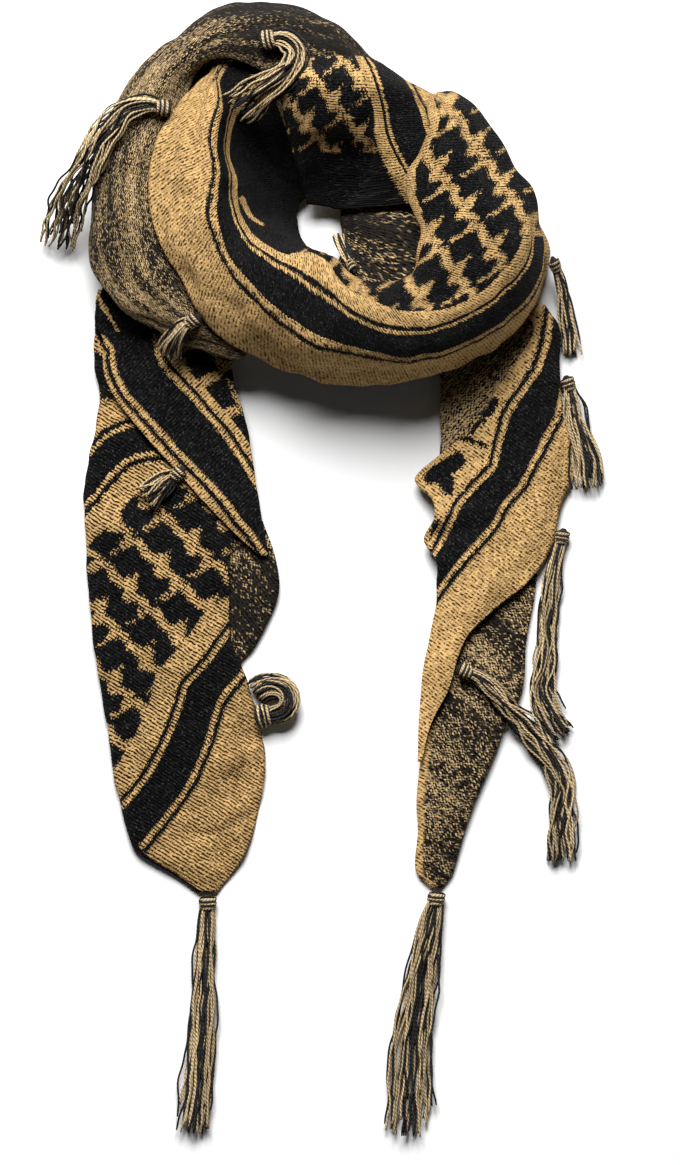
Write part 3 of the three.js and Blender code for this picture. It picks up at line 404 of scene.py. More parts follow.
# ---------------------------------------------------------------- tassels
# name, yarns, neck width, end width, depth over width, how far the yarns stray, route
TASSELS = [
    ["tassel_shoulder", 38, 8.5, 33, 0.4, 2.8,
     [[-112, 321, 63], [-123, 323, 66], [-137, 319, 66], [-150, 306, 63], [-162, 287, 58.5],
      [-174, 266, 42], [-182, 243, 20], [-186, 226, 7]]],
    ["tassel_crown", 46, 10, 27, 0.75, 2.4,
     [[-40, 368, 67], [-29, 369, 70], [-21, 361, 71], [-23, 350, 73], [-33, 340, 75],
      [-47, 330, 70], [-60, 319, 61]]],
    ["tassel_waist", 28, 7.5, 19, 0.5, 1.6,
     [[-91, 174, 57.5], [-99, 168, 56], [-105, 160, 50], [-109, 149, 36]]],
    ["tassel_left_band", 26, 7, 24, 0.4, 2.0,
     [[-102, 68, 19.6], [-109, 62, 19.6], [-117, 55, 19.6], [-125, 48, 19.7]]],
    ["tassel_left_curl", 56, 12, 21, 0.6, 1.6,
     [[-44, -102, 7], [-37, -101, 8], [-29, -98, 9.5], [-25.5, -91, 10.5], [-28, -84, 10.5],
      [-35, -81, 9.5], [-43, -82, 8.5], [-50, -86, 7]]],
    ["tassel_neck", 20, 5, 9, 0.6, 1.0,
     [[19, 211, 34], [15, 219, 28], [12, 227, 21], [10, 235, 15]]],
    ["tassel_right_ring", 24, 6, 15, 0.5, 1.6,
     [[160.2, 214, 22], [165, 200, 16], [168, 183, 10], [171, 165, 6], [172, 150, 5]]],
    ["tassel_right_upper", 36, 7.5, 25, 0.45, 2.4,
     [[169.7, 131, 5.2], [173, 118, 6], [178, 98, 6], [182, 78, 6], [184, 57, 6]]],
    ["tassel_right_middle", 36, 7.5, 21, 0.45, 2.5,
     [[166, 24, 5.2], [161, 6, 6], [157, -21, 6], [155, -56, 6], [152, -84, 6],
      [157, -100, 6], [168, -116, 6]]],
    ["tassel_right_inner", 40, 8, 22, 0.45, 3.0,
     [[97, -70, 13.9], [109, -77, 14.5], [123, -91, 13.5], [140, -108, 8], [158, -133, 6],
      [165, -154, 6], [166, -182, 6], [166, -204, 6]]],
    ["tassel_left_tip", 42, 9, 27, 0.35, 1.5,
     [[-82, -232, 5.2], [-83, -250, 6], [-85, -300, 6], [-87, -343, 6], [-92, -394, 6]]],
    ["tassel_right_tip", 44, 9, 40, 0.25, 1.8,
     [[78, -229, 5.2], [74, -250, 7], [65, -295, 7], [60, -345, 6], [57, -396, 6]]],
]
YARN_RADIUS = 0.8
YARN_SIDES = 5
YARN_STEP = 3.2                       # between a yarn's rings
YARN_END_UNEVENNESS = 0.16            # share of the route that the shortest yarn lacks
YARN_CLEARANCE = 0.3                  # above the floor
YARN_WAVES = (95, 48, 21)             # lengths of the waves that the yarns took in the wash
LOCKS = 9                             # bundles of yarns that wave together
HEAD_LENGTH = 13.0
HEAD_SHARE = 0.72                     # of the neck's width: the radius of the knot
# The yarns wound round the neck: turns, tilt in degrees, whether tan
HEAD_WINDINGS = [[3, 16, True], [2.5, -20, False], [2.5, 4, True], [1.5, 30, False]]
TAN_YARNS = 0.52                      # share of a tassel's yarns
GOLDEN_ANGLE = math.pi * (3 - math.sqrt(5))
YARN_TIP = 0.7                        # of its radius, at a yarn's end
YARN_PLIES = 2
HEAD_CORE = (0.35, 0.7, 0.85, 0.88, 0.8, 0.65, 0.4)   # radii along the knot, of its largest

# ---------------------------------------------------------------- colours and light
TAN = (0.56, 0.352, 0.142, 1)
# Painted shade: the darker colours of the gaps fill the holes and low parts of the stitches.
TAN_HOLE_SHADE = (0.08, 0.036, 0.01, 1)
BLACK = (0.0048, 0.0048, 0.0053, 1)
BLACK_HOLE_SHADE = (0.0015, 0.0015, 0.002, 1)
# Painted highlights: glints on the black yarn's fuzz.
BLACK_PAINTED_GLINT = (0.055, 0.052, 0.05, 1)
MOTTLED_TAN = (0.5, 0.35, 0.175, 1)
MOTTLED_BLACK = (0.014, 0.0115, 0.0095, 1)
YARN_TANS = ((0.26, 0.18, 0.09, 1), (0.64, 0.49, 0.285, 1))        # painted shade between plies, then on them
YARN_BLACKS = ((0.006, 0.006, 0.007, 1), (0.028, 0.027, 0.028, 1))
KNIT_SHEEN = (0.6, 0.55, 0.5, 1)
KNIT_RELIEF = 1.1
STITCH_LEAN = 0.5                     # how far a stitch's legs lean, in courses
# How stitches stray: scale of the noise, then stitches along the hem and across it
STITCH_DRIFTS = [(60, 1.0, 0.9), (260, 0.9, 0.9)]

# In metres
CAMERA_HEIGHT = 8.0
CAMERA_PLACE = (0.0105, -0.00875)
VIEW_LENGTH = 0.8155                  # of floor, along the frame's long side
LIGHT_AIM = (0, 0.05, 0)
FLOOR_HALF = 4.0
SENSOR = 36.0                         # millimetres


# ---------------------------------------------------------------- curves and surfaces
UP = np.array([0, 0, 1.0])


def smooth_at(points, at):
    """A smooth curve through points along the first axis, at fractional indices."""
    points = np.asarray(points, float)
    padded = np.concatenate([2 * points[:1] - points[1:2], points, 2 * points[-1:] - points[-2:-1]])
    index = np.clip(np.floor(at).astype(int), 0, len(points) - 2)
    share = (np.asarray(at) - index).reshape(-1, *[1] * (points.ndim - 1))
    before, start, end, after = (padded[index + k] for k in range(4))
    cube, square = share**3, share**2
    return (
        (2 * cube - 3 * square + 1) * start
        + (cube - 2 * square + share) * ((end - before) / 2)
        + (3 * square - 2 * cube) * end
        + (cube - square) * ((after - start) / 2)
    )


def lengths(points):
    """How far each point lies along its line. Lines run along the first axis."""
    steps = np.linalg.norm(np.diff(points, axis=0), axis=-1)
    return np.concatenate([0 * steps[:1], np.cumsum(steps, axis=0)])


def unit(vectors):
    return vectors / np.maximum(np.linalg.norm(vectors, axis=-1, keepdims=True), 1e-9)


def beside(ahead, up=UP):
    """Unit vectors to the side of a direction and above it."""
    side = unit(np.cross(up, ahead))
    return side, np.cross(ahead, side)


def bump(distance, half_width):
    """A soft rise: 1 in the middle, fading with the distance."""
    return np.exp(-((distance / half_width) ** 2))


def ring_points(controls):
    """(azimuth, radius, height) to points."""
    azimuth = np.radians(controls[..., 0])
    return np.stack([
        NECK[0] + controls[..., 1] * np.cos(azimuth),
        NECK[1] + controls[..., 1] * np.sin(azimuth),
        controls[..., 2],
    ], axis=-1)


def ring_controls(table):
    """(azimuth, radius, height) at each station, from rows of an azimuth and such pairs."""
    table = np.array(table, float)
    pairs = table[:, 1:].reshape(len(table), -1, 2)
    azimuth = np.broadcast_to(table[:, :1, None], (*pairs.shape[:2], 1))
    return np.concatenate([azimuth, pairs], axis=-1)


def end_controls(table):
    """(x, y, height) at each station, from rows of a y and (x, height) pairs."""
    return ring_controls(table)[..., [1, 0, 2]]


def mean_spacing(controls):
    """Distances from the hem of the stations, where the table gives none."""
    stations = controls.shape[1]
    dense = np.linspace(0, stations - 1, 8 * stations)
    widths = lengths(smooth_at(np.swapaxes(controls, 0, 1), dense))[-1]
    return np.linspace(0, widths.mean(), stations)


class Grid:
    """A stretch of cloth as rows along it and columns across it, one cell to a stitch."""

    def __init__(self, controls, from_hem=None, reference=1, to_points=np.asarray):
        dense = np.linspace(0, len(controls) - 1, 40 * len(controls))
        along = lengths(to_points(smooth_at(controls[:, reference], dense)))
        rows = max(3, round(along[-1] / WALE) + 1)
        self.along = np.linspace(0, along[-1], rows)
        if from_hem is None:
            from_hem = mean_spacing(controls)
        columns = max(3, round(abs(from_hem[-1] - from_hem[0]) / COURSE) + 1)
        self.from_hem = np.linspace(from_hem[0], from_hem[-1], columns)
        column_at = np.interp(self.from_hem, from_hem, np.arange(len(from_hem)))
        across = smooth_at(np.swapaxes(controls, 0, 1), column_at)
        row_at = np.interp(self.along, along, dense)
        self.controls = smooth_at(np.swapaxes(across, 0, 1), row_at)
        self.points = to_points(self.controls)

    def spread(self, values):
        """Values for every point, from one number or one a row or column."""
        return np.broadcast_to(values, self.points.shape[:2])

    def normals(self):
        return unit(np.cross(np.gradient(self.points, axis=0), np.gradient(self.points, axis=1)))

    def face(self, outward):
        """Turns the grid so that its normals point the way that outward gives."""
        if (self.normals() * outward).sum() < 0:
            self.points = self.points[::-1]
            self.controls = self.controls[::-1]
            self.along = self.along[::-1]
        return self

    def push(self, distance):
        """Moves each point along its normal."""
        self.points = self.points + self.normals() * distance[..., None]
        return self

    def size(self):
        """Mean size across and along, in metres."""
        return [lengths(lines)[-1].mean() * MM
                for lines in (np.swapaxes(self.points, 0, 1), self.points)]


def segment_distance(points, start, end):
    """Distance of points in a plane from a straight stretch, and the share along it."""
    step = np.subtract(end, start)
    share = np.clip(((points - start) @ step) / (step @ step), 0, 1)
    return np.linalg.norm(points - start - share[..., None] * step, axis=-1), share


def creased(grid, place, creases):
    """Pushes soft troughs and ridges into a grid. place gives each point's flat coordinates."""
    depth = np.zeros(place.shape[:2])
    for *ends, half_width, height in creases:
        depth += height * bump(segment_distance(place, ends[:2], ends[2:])[0], half_width)
    return grid.push(depth)


def rippled(grid, amount, rng):
    """Small uneven waves, so that no stretch lies perfectly smooth."""
    wave = np.zeros(grid.points.shape[:2])
    for length in RIPPLE_LENGTHS:
        for _ in range(3):
            heading = rng.normal(size=3)
            heading *= 2 * math.pi / length / np.linalg.norm(heading)
            wave += length * np.sin(grid.points @ heading + rng.uniform(0, 2 * math.pi))
    return grid.push(wave * amount / 80)


def ring_place(grid, reach):
    """Flat coordinates on the ring, in which azimuth counts as a length."""
    return np.stack([np.radians(grid.controls[..., 0]) * reach, grid.spread(grid.from_hem)], -1)


def on_ring(rows, reach):
    """The rows with their azimuths, first and third, as lengths."""
    return [[math.radians(a) * reach, from_a, math.radians(b) * reach, from_b, *rest]
            for a, from_a, b, from_b, *rest in rows]


def along_ring(grid, anchor):
    """How far each point lies along the ring from an azimuth: half its own way, half the line's."""
    own = lengths(grid.points)
    own -= own[np.argmin(np.abs(grid.controls[:, 0, 0] - anchor))]
    return (own + own[:, [own.shape[1] // 3]]) / 2


# ---------------------------------------------------------------- colour fields
def border_distance(points, border):
    """Distance from the hem at points on an end, from the middle line of its wide band."""
    border = np.array(border, float)
    best = np.full(points.shape[:-1], np.inf)
    result = np.zeros(points.shape[:-1])
    for start, end in zip(border[:-1], border[1:]):
        distance, share = segment_distance(points, start[:2], end[:2])
        step = end[:2] - start[:2]
        offset = points - start[:2]
        side = np.sign(step[0] * offset[..., 1] - step[1] * offset[..., 0])
        half = start[2] + (end[2] - start[2]) * share
        inside = np.minimum(distance, half) / half * WIDE_BAND_HALF
        outside = np.maximum(distance - half, 0)
        nearer = distance < best
        best = np.where(nearer, distance, best)
        result = np.where(nearer, WIDE_BAND_MIDDLE + side * (inside + outside), result)
    return result


def stroke_distance(points, strokes):
    """Distance of points in plan from the nearest stroke: negative on it."""
    field = np.full(points.shape[:-1], np.inf)
    for *ends, half_width in strokes:
        distance, _ = segment_distance(points, ends[:2], ends[2:])
        field = np.minimum(field, distance - half_width)
    return field


def turned(points, heading):
    """Flat coordinates of points in plan: (along a heading, to its right)."""
    ahead = np.array(heading, float) / np.linalg.norm(heading)
    return np.stack([points @ ahead, points @ np.array([ahead[1], -ahead[0]])], -1)


def net_field(place):
    """Distance from the net's tan strokes: negative on them. place is (towards hem, along)."""
    repeats = np.round(place @ np.linalg.inv(NET_STEPS))
    local = place - repeats @ NET_STEPS
    span = range(-NET_REACH, NET_REACH + 1)
    strokes = [[*start, *end, half_width] for half_width, points in NET_STROKES
               for start, end in zip(points[:-1], points[1:])]
    return np.minimum.reduce([stroke_distance(local + np.array([i, j]) @ NET_STEPS, strokes)
                              for i in span for j in span])


def net_in_plan(points, start, heading, scale, width):
    """The net from a chart laid on the plan."""
    plan = points[..., :2] - np.array(start)
    return net_field(turned(plan, heading) * np.array(scale)) / width


# ---------------------------------------------------------------- pieces
def add_object(name, data):
    made = bpy.data.objects.new(name, data)
    bpy.context.scene.collection.objects.link(made)
    return made


def make_piece(name, node, points, faces, stitches, fields, materials):
    """A smooth piece in place of a solid, its UV map counting stitches along, then across."""
    mesh = bpy.data.meshes.new(name)
    mesh.from_pydata((points * MM).tolist(), [], faces)
    uv_map = mesh.uv_layers.new(name="stitches")
    uv_map.data.foreach_set("uv", np.asarray(stitches, np.float32).ravel())
    for field, values in fields.items():
        attribute = mesh.attributes.new(field, "FLOAT", "POINT")
        attribute.data.foreach_set("value", np.asarray(values, np.float32).ravel())
    mesh.polygons.foreach_set("use_smooth", np.ones(len(mesh.polygons), bool))
    for material in materials:
        mesh.materials.append(material)
    mesh.update()
    piece = add_object(name, mesh)
    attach(piece, "root")
    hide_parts(node)
    return piece


def cloth_piece(node, slot, materials, grid, fields, place):
    """A thin shell on a grid. place gives (towards the hem, along it); else a quad is a stitch."""
    rows, columns = grid.points.shape[:2]
    i, j = np.meshgrid(np.arange(rows - 1), np.arange(columns - 1), indexing="ij")
    corners = [(i, j), (i + 1, j), (i + 1, j + 1), (i, j + 1)]
    index = np.stack([a * columns + b for a, b in corners], -1).reshape(-1, 4)
    if place is None:
        counted = np.stack(np.meshgrid(np.arange(rows), np.arange(columns), indexing="ij"), -1)
    else:
        counted = np.stack([place[..., 1] / WALE, place[..., 0] / COURSE], -1)
    piece = make_piece(node + "_cloth", node, grid.points.reshape(-1, 3), index.tolist(),
                       counted.reshape(-1, 2)[index], fields, materials)
    shell = piece.modifiers.new("cloth", "SOLIDIFY")
    shell.thickness = CLOTH_THICKNESS * MM
    shell.offset = 0.0
    shell.use_rim = True
    shell.material_offset = len(materials) - 1
    return piece


# ---------------------------------------------------------------- materials
class Shader:
    """Builds a material's nodes: each method adds some and returns an output."""

    def __init__(self, name):
        self.material = bpy.data.materials.new(name)
        self.material.use_nodes = True
        self.tree = self.material.node_tree

    def feed(self, node, inputs):
        """Sets or links a node's inputs, given in their order or by name or number."""
        for key, value in inputs.items() if isinstance(inputs, dict) else enumerate(inputs):
            if isinstance(value, bpy.types.NodeSocket):
                self.tree.links.new(value, node.inputs[key])
            else:
                node.inputs[key].default_value = value

    def add(self, kind, inputs=(), **settings):
        """Adds a node and returns its outputs."""
        node = self.tree.nodes.new("ShaderNode" + kind)
        for key, value in settings.items():
            setattr(node, key, value)
        self.feed(node, inputs)
        return node.outputs

    def math(self, operation, *values):
        return self.add("Math", values, operation=operation)[0]

    def plus(self, a, b):
        return self.math("ADD", a, b)

    def times(self, a, b):
        return self.math("MULTIPLY", a, b)

    def line(self, value, slope, offset):
        return self.math("MULTIPLY_ADD", value, slope, offset)

    def ramp(self, value, low, high, to_low=0.0, to_high=1.0):
        return self.add("MapRange", (value, low, high, to_low, to_high))[0]

    def attribute(self, name):
        return self.add("Attribute", attribute_name=name)["Fac"]

    def place(self):
        return self.add("TexCoord")["Object"]

    def vector(self, *parts):
        return self.add("CombineXYZ", parts)[0]

    def parts(self, vector):
        return list(self.add("SeparateXYZ", [vector]))[:2]

    def stitches(self):
        return self.parts(self.add("UVMap", uv_map="stitches")[0])

    def cell_noise(self, x, y, seed):
        """A number of its own for each cell."""
        cell = self.vector(self.math("FLOOR", x), self.math("FLOOR", y), seed)
        return self.add("TexWhiteNoise", {"Vector": cell}, noise_dimensions="3D")["Value"]

    def noise(self, vector, scale, detail=2.0, output="Fac"):
        return self.add("TexNoise", {"Vector": vector, "Scale": scale, "Detail": detail})[output]

    def mix(self, share, a, b):
        # As colours, the node's inputs are numbers 6 and 7 and its result is number 2.
        return self.add("Mix", {0: share, 6: a, 7: b}, data_type="RGBA")[2]

    def scaled(self, colour, factor):
        return self.add("VectorMath", {0: colour, "Scale": factor}, operation="SCALE")[0]

    def finish(self, colour, height, depth, roughness, sheen=0.03, sheen_tint=KNIT_SHEEN):
        relief = self.add("Bump", {"Strength": 1.0, "Distance": depth * MM, "Height": height})
        self.feed(self.tree.nodes["Principled BSDF"], {
            "Base Color": colour, "Normal": relief[0], "Roughness": roughness,
            "Specular IOR Level": 0.05, "Sheen Weight": sheen, "Sheen Roughness": 0.6,
            "Sheen Tint": sheen_tint,
        })
        return self.material


def stitch_form(shader):
    """The knit's height, the share down each stitch, a number of its own, and its place."""
    wale, course = shader.stitches()
    for scale, wale_drift, course_drift in STITCH_DRIFTS:
        east, north = shader.parts(shader.noise(shader.place(), scale, 1.0, "Color"))
        wale = shader.line(east, wale_drift, wale)
        course = shader.line(north, course_drift, course)
    centred = shader.math("ABSOLUTE", shader.math("SUBTRACT", shader.math("FRACT", wale), 0.5))
    aside = shader.times(centred, 2.0)
    leaning = shader.line(aside, STITCH_LEAN, course)
    down = shader.math("FRACT", leaning)
    loop = shader.times(shader.math("PINGPONG", down, 0.5), 2.0)
    # Holes of uneven length and depth lie between the ribs.
    between = shader.times(shader.math("ROUND", wale), 7.3)
    hole = shader.noise(shader.vector(between, shader.times(course, 0.85)), 1.0, 1.0)
    openness = shader.line(shader.attribute("open"), 0.11, hole)
    hole = shader.times(shader.ramp(aside, 0.35, 0.9), shader.ramp(openness, 0.44, 0.64))
    along = shader.line(shader.math("POWER", loop, 0.7), 0.22, 0.78)
    own = shader.cell_noise(wale, leaning, 0.5)
    fullness = shader.line(own, 0.24, 0.82)
    rib = shader.line(shader.math("POWER", aside, 2.0), -0.22, 1.0)
    solid = shader.line(hole, -0.9, rib)
    height = shader.times(shader.times(solid, along), fullness)
    return height, down, own, wale, leaning


def tan_stitches(shader, height, own, behind):
    """Tan stitches, each of its own tone, with what lies behind in the gaps, darkened as painted
    shade in their low parts.
    """
    tan = shader.mix(shader.ramp(height, 0.1, 0.78), behind, TAN)
    shade = shader.ramp(own, 0, 1, 0.76, 1.12)
    drift = shader.ramp(shader.noise(shader.place(), 22), 0.25, 0.75, 0.88, 1.06)
    return shader.scaled(shader.scaled(tan, shade), drift)


def patterned_knit():
    """Tan hem, black lines and band, and a black and tan net, all by distance from the hem."""
    shader = Shader("patterned_knit")
    height, down, own, wale, leaning = stitch_form(shader)
    step = shader.times(shader.math("SUBTRACT", down, 0.5), COURSE)
    jitter = shader.line(own, 0.9, -0.45)
    stepped = shader.plus(shader.math("SUBTRACT", shader.attribute("from_hem"), step), jitter)

    def past(distance):
        return shader.math("GREATER_THAN", stepped, distance)

    net = shader.plus(shader.attribute("net"), shader.times(step, 1.1))
    net = shader.plus(net, shader.times(jitter, 2.4))
    ink = shader.times(past(NET_START), shader.math("GREATER_THAN", net, 0.0))
    for start, end in BLACK_BANDS:
        ink = shader.plus(ink, shader.math("SUBTRACT", past(start), past(end)))

    # Black floats lie behind the tan stitches everywhere but in the hem; their colour there and the
    # dark brown of the hem's holes are painted shade in the gaps.
    behind = shader.mix(past(HEM_END - COURSE), TAN_HOLE_SHADE, BLACK_HOLE_SHADE)
    tan = tan_stitches(shader, height, own, behind)
    # Painted highlights: sparse glints scattered on the black stitches.
    glint_cell = shader.cell_noise(shader.times(wale, 3.0), shader.times(leaning, 2.0), 2.5)
    # Painted shade: the black stitches darken towards their low parts.
    black = shader.mix(shader.ramp(height, 0.2, 0.8), BLACK_HOLE_SHADE, BLACK)
    black = shader.scaled(black, shader.ramp(own, 0, 1, 0.5, 1.5))
    black = shader.mix(shader.ramp(glint_cell, 0.86, 1.0, 0.0, 0.6), black, BLACK_PAINTED_GLINT)
    return shader.finish(shader.mix(ink, tan, black), height, KNIT_RELIEF, 0.93)


def mottled_knit():
    """The reverse: both yarns come through, stitch by stitch, in soft bands."""
    shader = Shader("mottled_knit")
    height, _, own, wale, leaning = stitch_form(shader)
    banded = shader.vector(shader.times(wale, 0.16), shader.times(leaning, 0.012))
    bands = shader.noise(banded, 1.0, 3)
    across = shader.math("FLOOR", shader.times(wale, 2.0))
    down = shader.math("FLOOR", shader.times(leaning, 1.4))
    turn = shader.math("PINGPONG", shader.plus(across, down), 1.0)
    own_yarn = shader.cell_noise(across, down, 4.5)
    half_stitch = shader.line(turn, 0.38, shader.times(own_yarn, 0.62))
    showing = shader.plus(half_stitch, shader.ramp(bands, 0.34, 0.66, -0.26, 0.26))
    patches = shader.noise(shader.place(), 16, 2)
    showing = shader.plus(showing, shader.ramp(patches, 0.3, 0.7, -0.12, 0.12))
    # Painted shade: the field read here pushes the share towards black where shade falls, and its
    # negative values paint light.
    painted_darkening = shader.times(shader.attribute("painted_shading"), -0.3)
    share = shader.ramp(shader.plus(showing, painted_darkening), 0.41, 0.77)
    # Painted shade: the low parts of the stitches are coloured darker.
    raised = shader.ramp(height, 0.2, 0.7)
    tan = shader.mix(raised, BLACK_HOLE_SHADE, MOTTLED_TAN)
    black = shader.mix(raised, BLACK_HOLE_SHADE, MOTTLED_BLACK)
    plain_tan = tan_stitches(shader, height, own, TAN_HOLE_SHADE)
    colour = shader.mix(shader.attribute("plain"), shader.mix(share, black, tan), plain_tan)
    return shader.finish(colour, height, KNIT_RELIEF, 0.95)


def yarn():
    """Plied yarn, tan or black by strand."""
    shader = Shader("yarn")
    round_it, along = shader.stitches()
    turns = shader.line(along, 0.55, round_it)
    twist = shader.math("SINE", shader.times(turns, 2 * math.pi * YARN_PLIES))
    ply = shader.line(twist, 0.5, 0.5)
    strand = shader.attribute("tan")
    shade = shader.ramp(shader.attribute("shade"), 0, 1, 0.6, 1.2)
    # Painted shade: the yarn is coloured darker between its plies.
    tan = shader.mix(ply, *YARN_TANS)
    black = shader.mix(ply, *YARN_BLACKS)
    colour = shader.scaled(shader.mix(strand, black, tan), shade)
    return shader.finish(colour, ply, 0.3, 0.75, 0.05, (0.9, 0.85, 0.75, 1))


def floor_finish():
    """Matt white paper with a faint unevenness."""
    shader = Shader("floor_paper")
    grain = shader.noise(shader.place(), 3.0, 3)
    colour = shader.mix(grain, (0.86, 0.86, 0.86, 1), (0.9, 0.9, 0.9, 1))
    return shader.finish(colour, grain, 0.2, 0.9, 0.0, (1, 1, 1, 1))


# ---------------------------------------------------------------- the cloth
# Each of these gives a stretch's grid, the fields that colour it, and its knit's flat coordinates.
def wrap_grid(table, from_hem, creases, reach, ripple, rng):
    """A stretch of the ring, its normals outward."""
    grid = Grid(ring_controls(table), from_hem, to_points=ring_points)
    grid.face(grid.points - np.array([*NECK, RING_FOCUS]))
    creased(grid, ring_place(grid, reach), on_ring(creases, reach))
    return rippled(grid, ripple, rng)


def end_grid(table, creases, ripple, rng, reference=1):
    """A stretch of an end, its normals up, and its points in plan before it is creased."""
    grid = Grid(end_controls(table), reference=reference).face(UP)
    plan = grid.points[..., :2]
    return rippled(creased(grid, plan, creases), ripple, rng), plan


def hidden_layers(rng):
    """The outermost of the heaped layers, with its folded edges showing as lips outside."""
    half = CLOTH_THICKNESS / 2
    controls = ring_controls(HIDDEN_LAYERS)
    controls[..., 2] += half
    stations = HIDDEN_LAYERS_SPACING * np.arange(controls.shape[1])
    grid = Grid(controls, stations, 2, ring_points)
    grid.face(grid.points - np.array([*NECK, HEAP_FOCUS]))
    outside = 2 * HIDDEN_LAYERS_SPACING
    share = np.clip((grid.from_hem - outside) / outside, 0, 1)
    groove = HIDDEN_LAYERS_LIP_DEPTH * np.sin(math.pi * HIDDEN_LAYERS_LIPS * share) ** 2
    grid.push(-grid.spread(groove) - half)
    return rippled(grid, 0.4, rng), {}, None


def back_wrap(rng):
    reach = BACK_WRAP_REACH
    grid = wrap_grid(BACK_WRAP, BACK_WRAP_FROM_HEM, BACK_WRAP_CREASES, reach, 1.0, rng)
    flat = ring_place(grid, reach)
    place = np.stack([along_ring(grid, 160), flat[..., 1]], -1)
    # Painted shade and painted light, summed from the table above.
    painted_back_shading = np.zeros(flat.shape[:2])
    for azimuth, from_hem, half_width, painted_darkening in BACK_WRAP_PAINTED_SHADING:
        middle = np.array([math.radians(azimuth) * reach, from_hem])
        painted_back_shading += painted_darkening * bump(np.linalg.norm(flat - middle, axis=-1), half_width)
    return grid, {"from_hem": flat[..., 1], "net": net_field(place), "painted_shading": painted_back_shading}, place


def crossing_wrap(rng):
    """Its rows follow the stripes, so along and across change places here."""
    controls = np.swapaxes(np.array(CROSSING_WRAP, float), 0, 1)
    grid = Grid(controls, -np.array(CROSSING_WRAP_FROM_HEM, float), reference=3).face(UP)
    rippled(grid, 0.6, rng)
    from_hem = grid.spread(-grid.from_hem)
    net = net_in_plan(grid.points, *CROSSING_WRAP_NET)
    # Painted shade: below that y the net is coloured black.
    net = np.where(grid.points[..., 1] < CROSSING_WRAP_PAINTED_SHADE_END, BESIDE_NET, net)
    place = np.stack([from_hem, grid.spread(grid.along[:, None])], -1)
    return grid, {"from_hem": from_hem, "net": net}, place


def well_wrap(rng):
    grid = Grid(ring_controls(WELL_WRAP), WELL_WRAP_FROM_HEM, to_points=ring_points).face(UP)
    rippled(grid, 0.6, rng)
    place = np.stack([grid.spread(grid.from_hem), along_ring(grid, 340)], -1)
    # Painted shade: the whole stretch is coloured darker, as shade deep in the neck.
    return grid, {"painted_shading": grid.spread(1.0)}, place


def front_wrap(rng):
    reach = FRONT_WRAP_REACH
    grid = wrap_grid(FRONT_WRAP, FRONT_WRAP_FROM_HEM, FRONT_WRAP_CREASES, reach, 0.9, rng)
    azimuth = grid.controls[..., 0]
    flat = ring_place(grid, reach)
    from_hem = flat[..., 1]
    along = along_ring(grid, 350) * np.sign(azimuth[-1, 0] - azimuth[0, 0])
    net = net_in_plan(grid.points, *FRONT_WRAP_NET)
    rim = (azimuth > FRONT_WRAP_RIM_START) & (from_hem < FRONT_WRAP_RIM_END)
    net = np.where(rim & (from_hem > np.interp(azimuth, *FRONT_WRAP_RIM)), ON_NET, net)
    # Painted shade: inside the neck the net is coloured black, but for the tan strokes that show
    # there.
    in_painted_shade = (azimuth < FRONT_WRAP_PAINTED_SHADE_END) & (from_hem > NET_START - 4)
    in_neck = stroke_distance(flat, on_ring(WELL_STROKES, reach))
    net = np.where(in_painted_shade | (in_neck < 0) & (from_hem > NET_START), in_neck, net)
    widened = np.interp(from_hem, *FRONT_WRAP_WIDENED)
    turned_under = (azimuth > FRONT_WRAP_BORDER_END) & (from_hem > HEM_END)
    shown = np.where(in_painted_shade | turned_under, np.maximum(widened, NET_START + 10), widened)
    # Painted shade: the reverse face is coloured darker all over.
    fields = {"from_hem": shown, "net": net, "painted_shading": grid.spread(1.0)}
    return grid, fields, np.stack([from_hem, along], -1)


def left_panel(rng):
    grid, plan = end_grid(LEFT_PANEL, LEFT_PANEL_CREASES, 0.8, rng, 3)
    lower = border_distance(plan, LEFT_PANEL_LOWER_BORDER)
    upper = border_distance(plan, LEFT_PANEL_UPPER_BORDER)
    covered = upper < HEM_END - LEFT_PANEL_HEM_SHOWN
    from_hem = np.where(covered, NET_START + 30, np.minimum(lower, upper))
    edge = grid.points[..., 0] - grid.points[..., 0].min(axis=1, keepdims=True)
    x_end, y_end, width = LEFT_PANEL_ROLL
    rolled = (plan[..., 0] < x_end) & (plan[..., 1] < y_end) & (edge < width)
    from_hem = np.where(rolled, WIDE_BAND_MIDDLE, from_hem)
    fields = {"from_hem": from_hem, "net": net_in_plan(plan, *LEFT_PANEL_NET),
              "open": grid.spread(1.0)}
    return grid, fields, turned(plan, LEFT_PANEL_HEADING)


def left_flap(rng):
    grid, plan = end_grid(LEFT_FLAP, LEFT_FLAP_CREASES, 0.5, rng)
    from_hem = border_distance(plan, LEFT_FLAP_BORDER)
    beyond = from_hem - SECOND_LINE_END
    from_hem = np.where(beyond > 0, SECOND_LINE_END + LEFT_FLAP_SHORTENED * beyond, from_hem)
    on_line = stroke_distance(plan, LEFT_FLAP_LINES) < 0
    upper = np.where(on_line, HEM_END + 5, WIDE_BAND_MIDDLE)
    from_hem = np.where(plan[..., 1] > LEFT_FLAP_CREASE, upper, from_hem)
    place = turned(plan, LEFT_FLAP_HEADING)
    return grid, {"from_hem": from_hem, "net": net_field(place + LEFT_FLAP_NET_START)}, place


def right_upper(rng):
    grid, plan = end_grid(RIGHT_UPPER, RIGHT_UPPER_CREASES, 0.3, rng)
    # Painted light: the reverse here is coloured lighter, against the shade it lies in.
    return grid, {"painted_shading": grid.spread(-0.5)}, turned(plan, RIGHT_UPPER_HEADING)


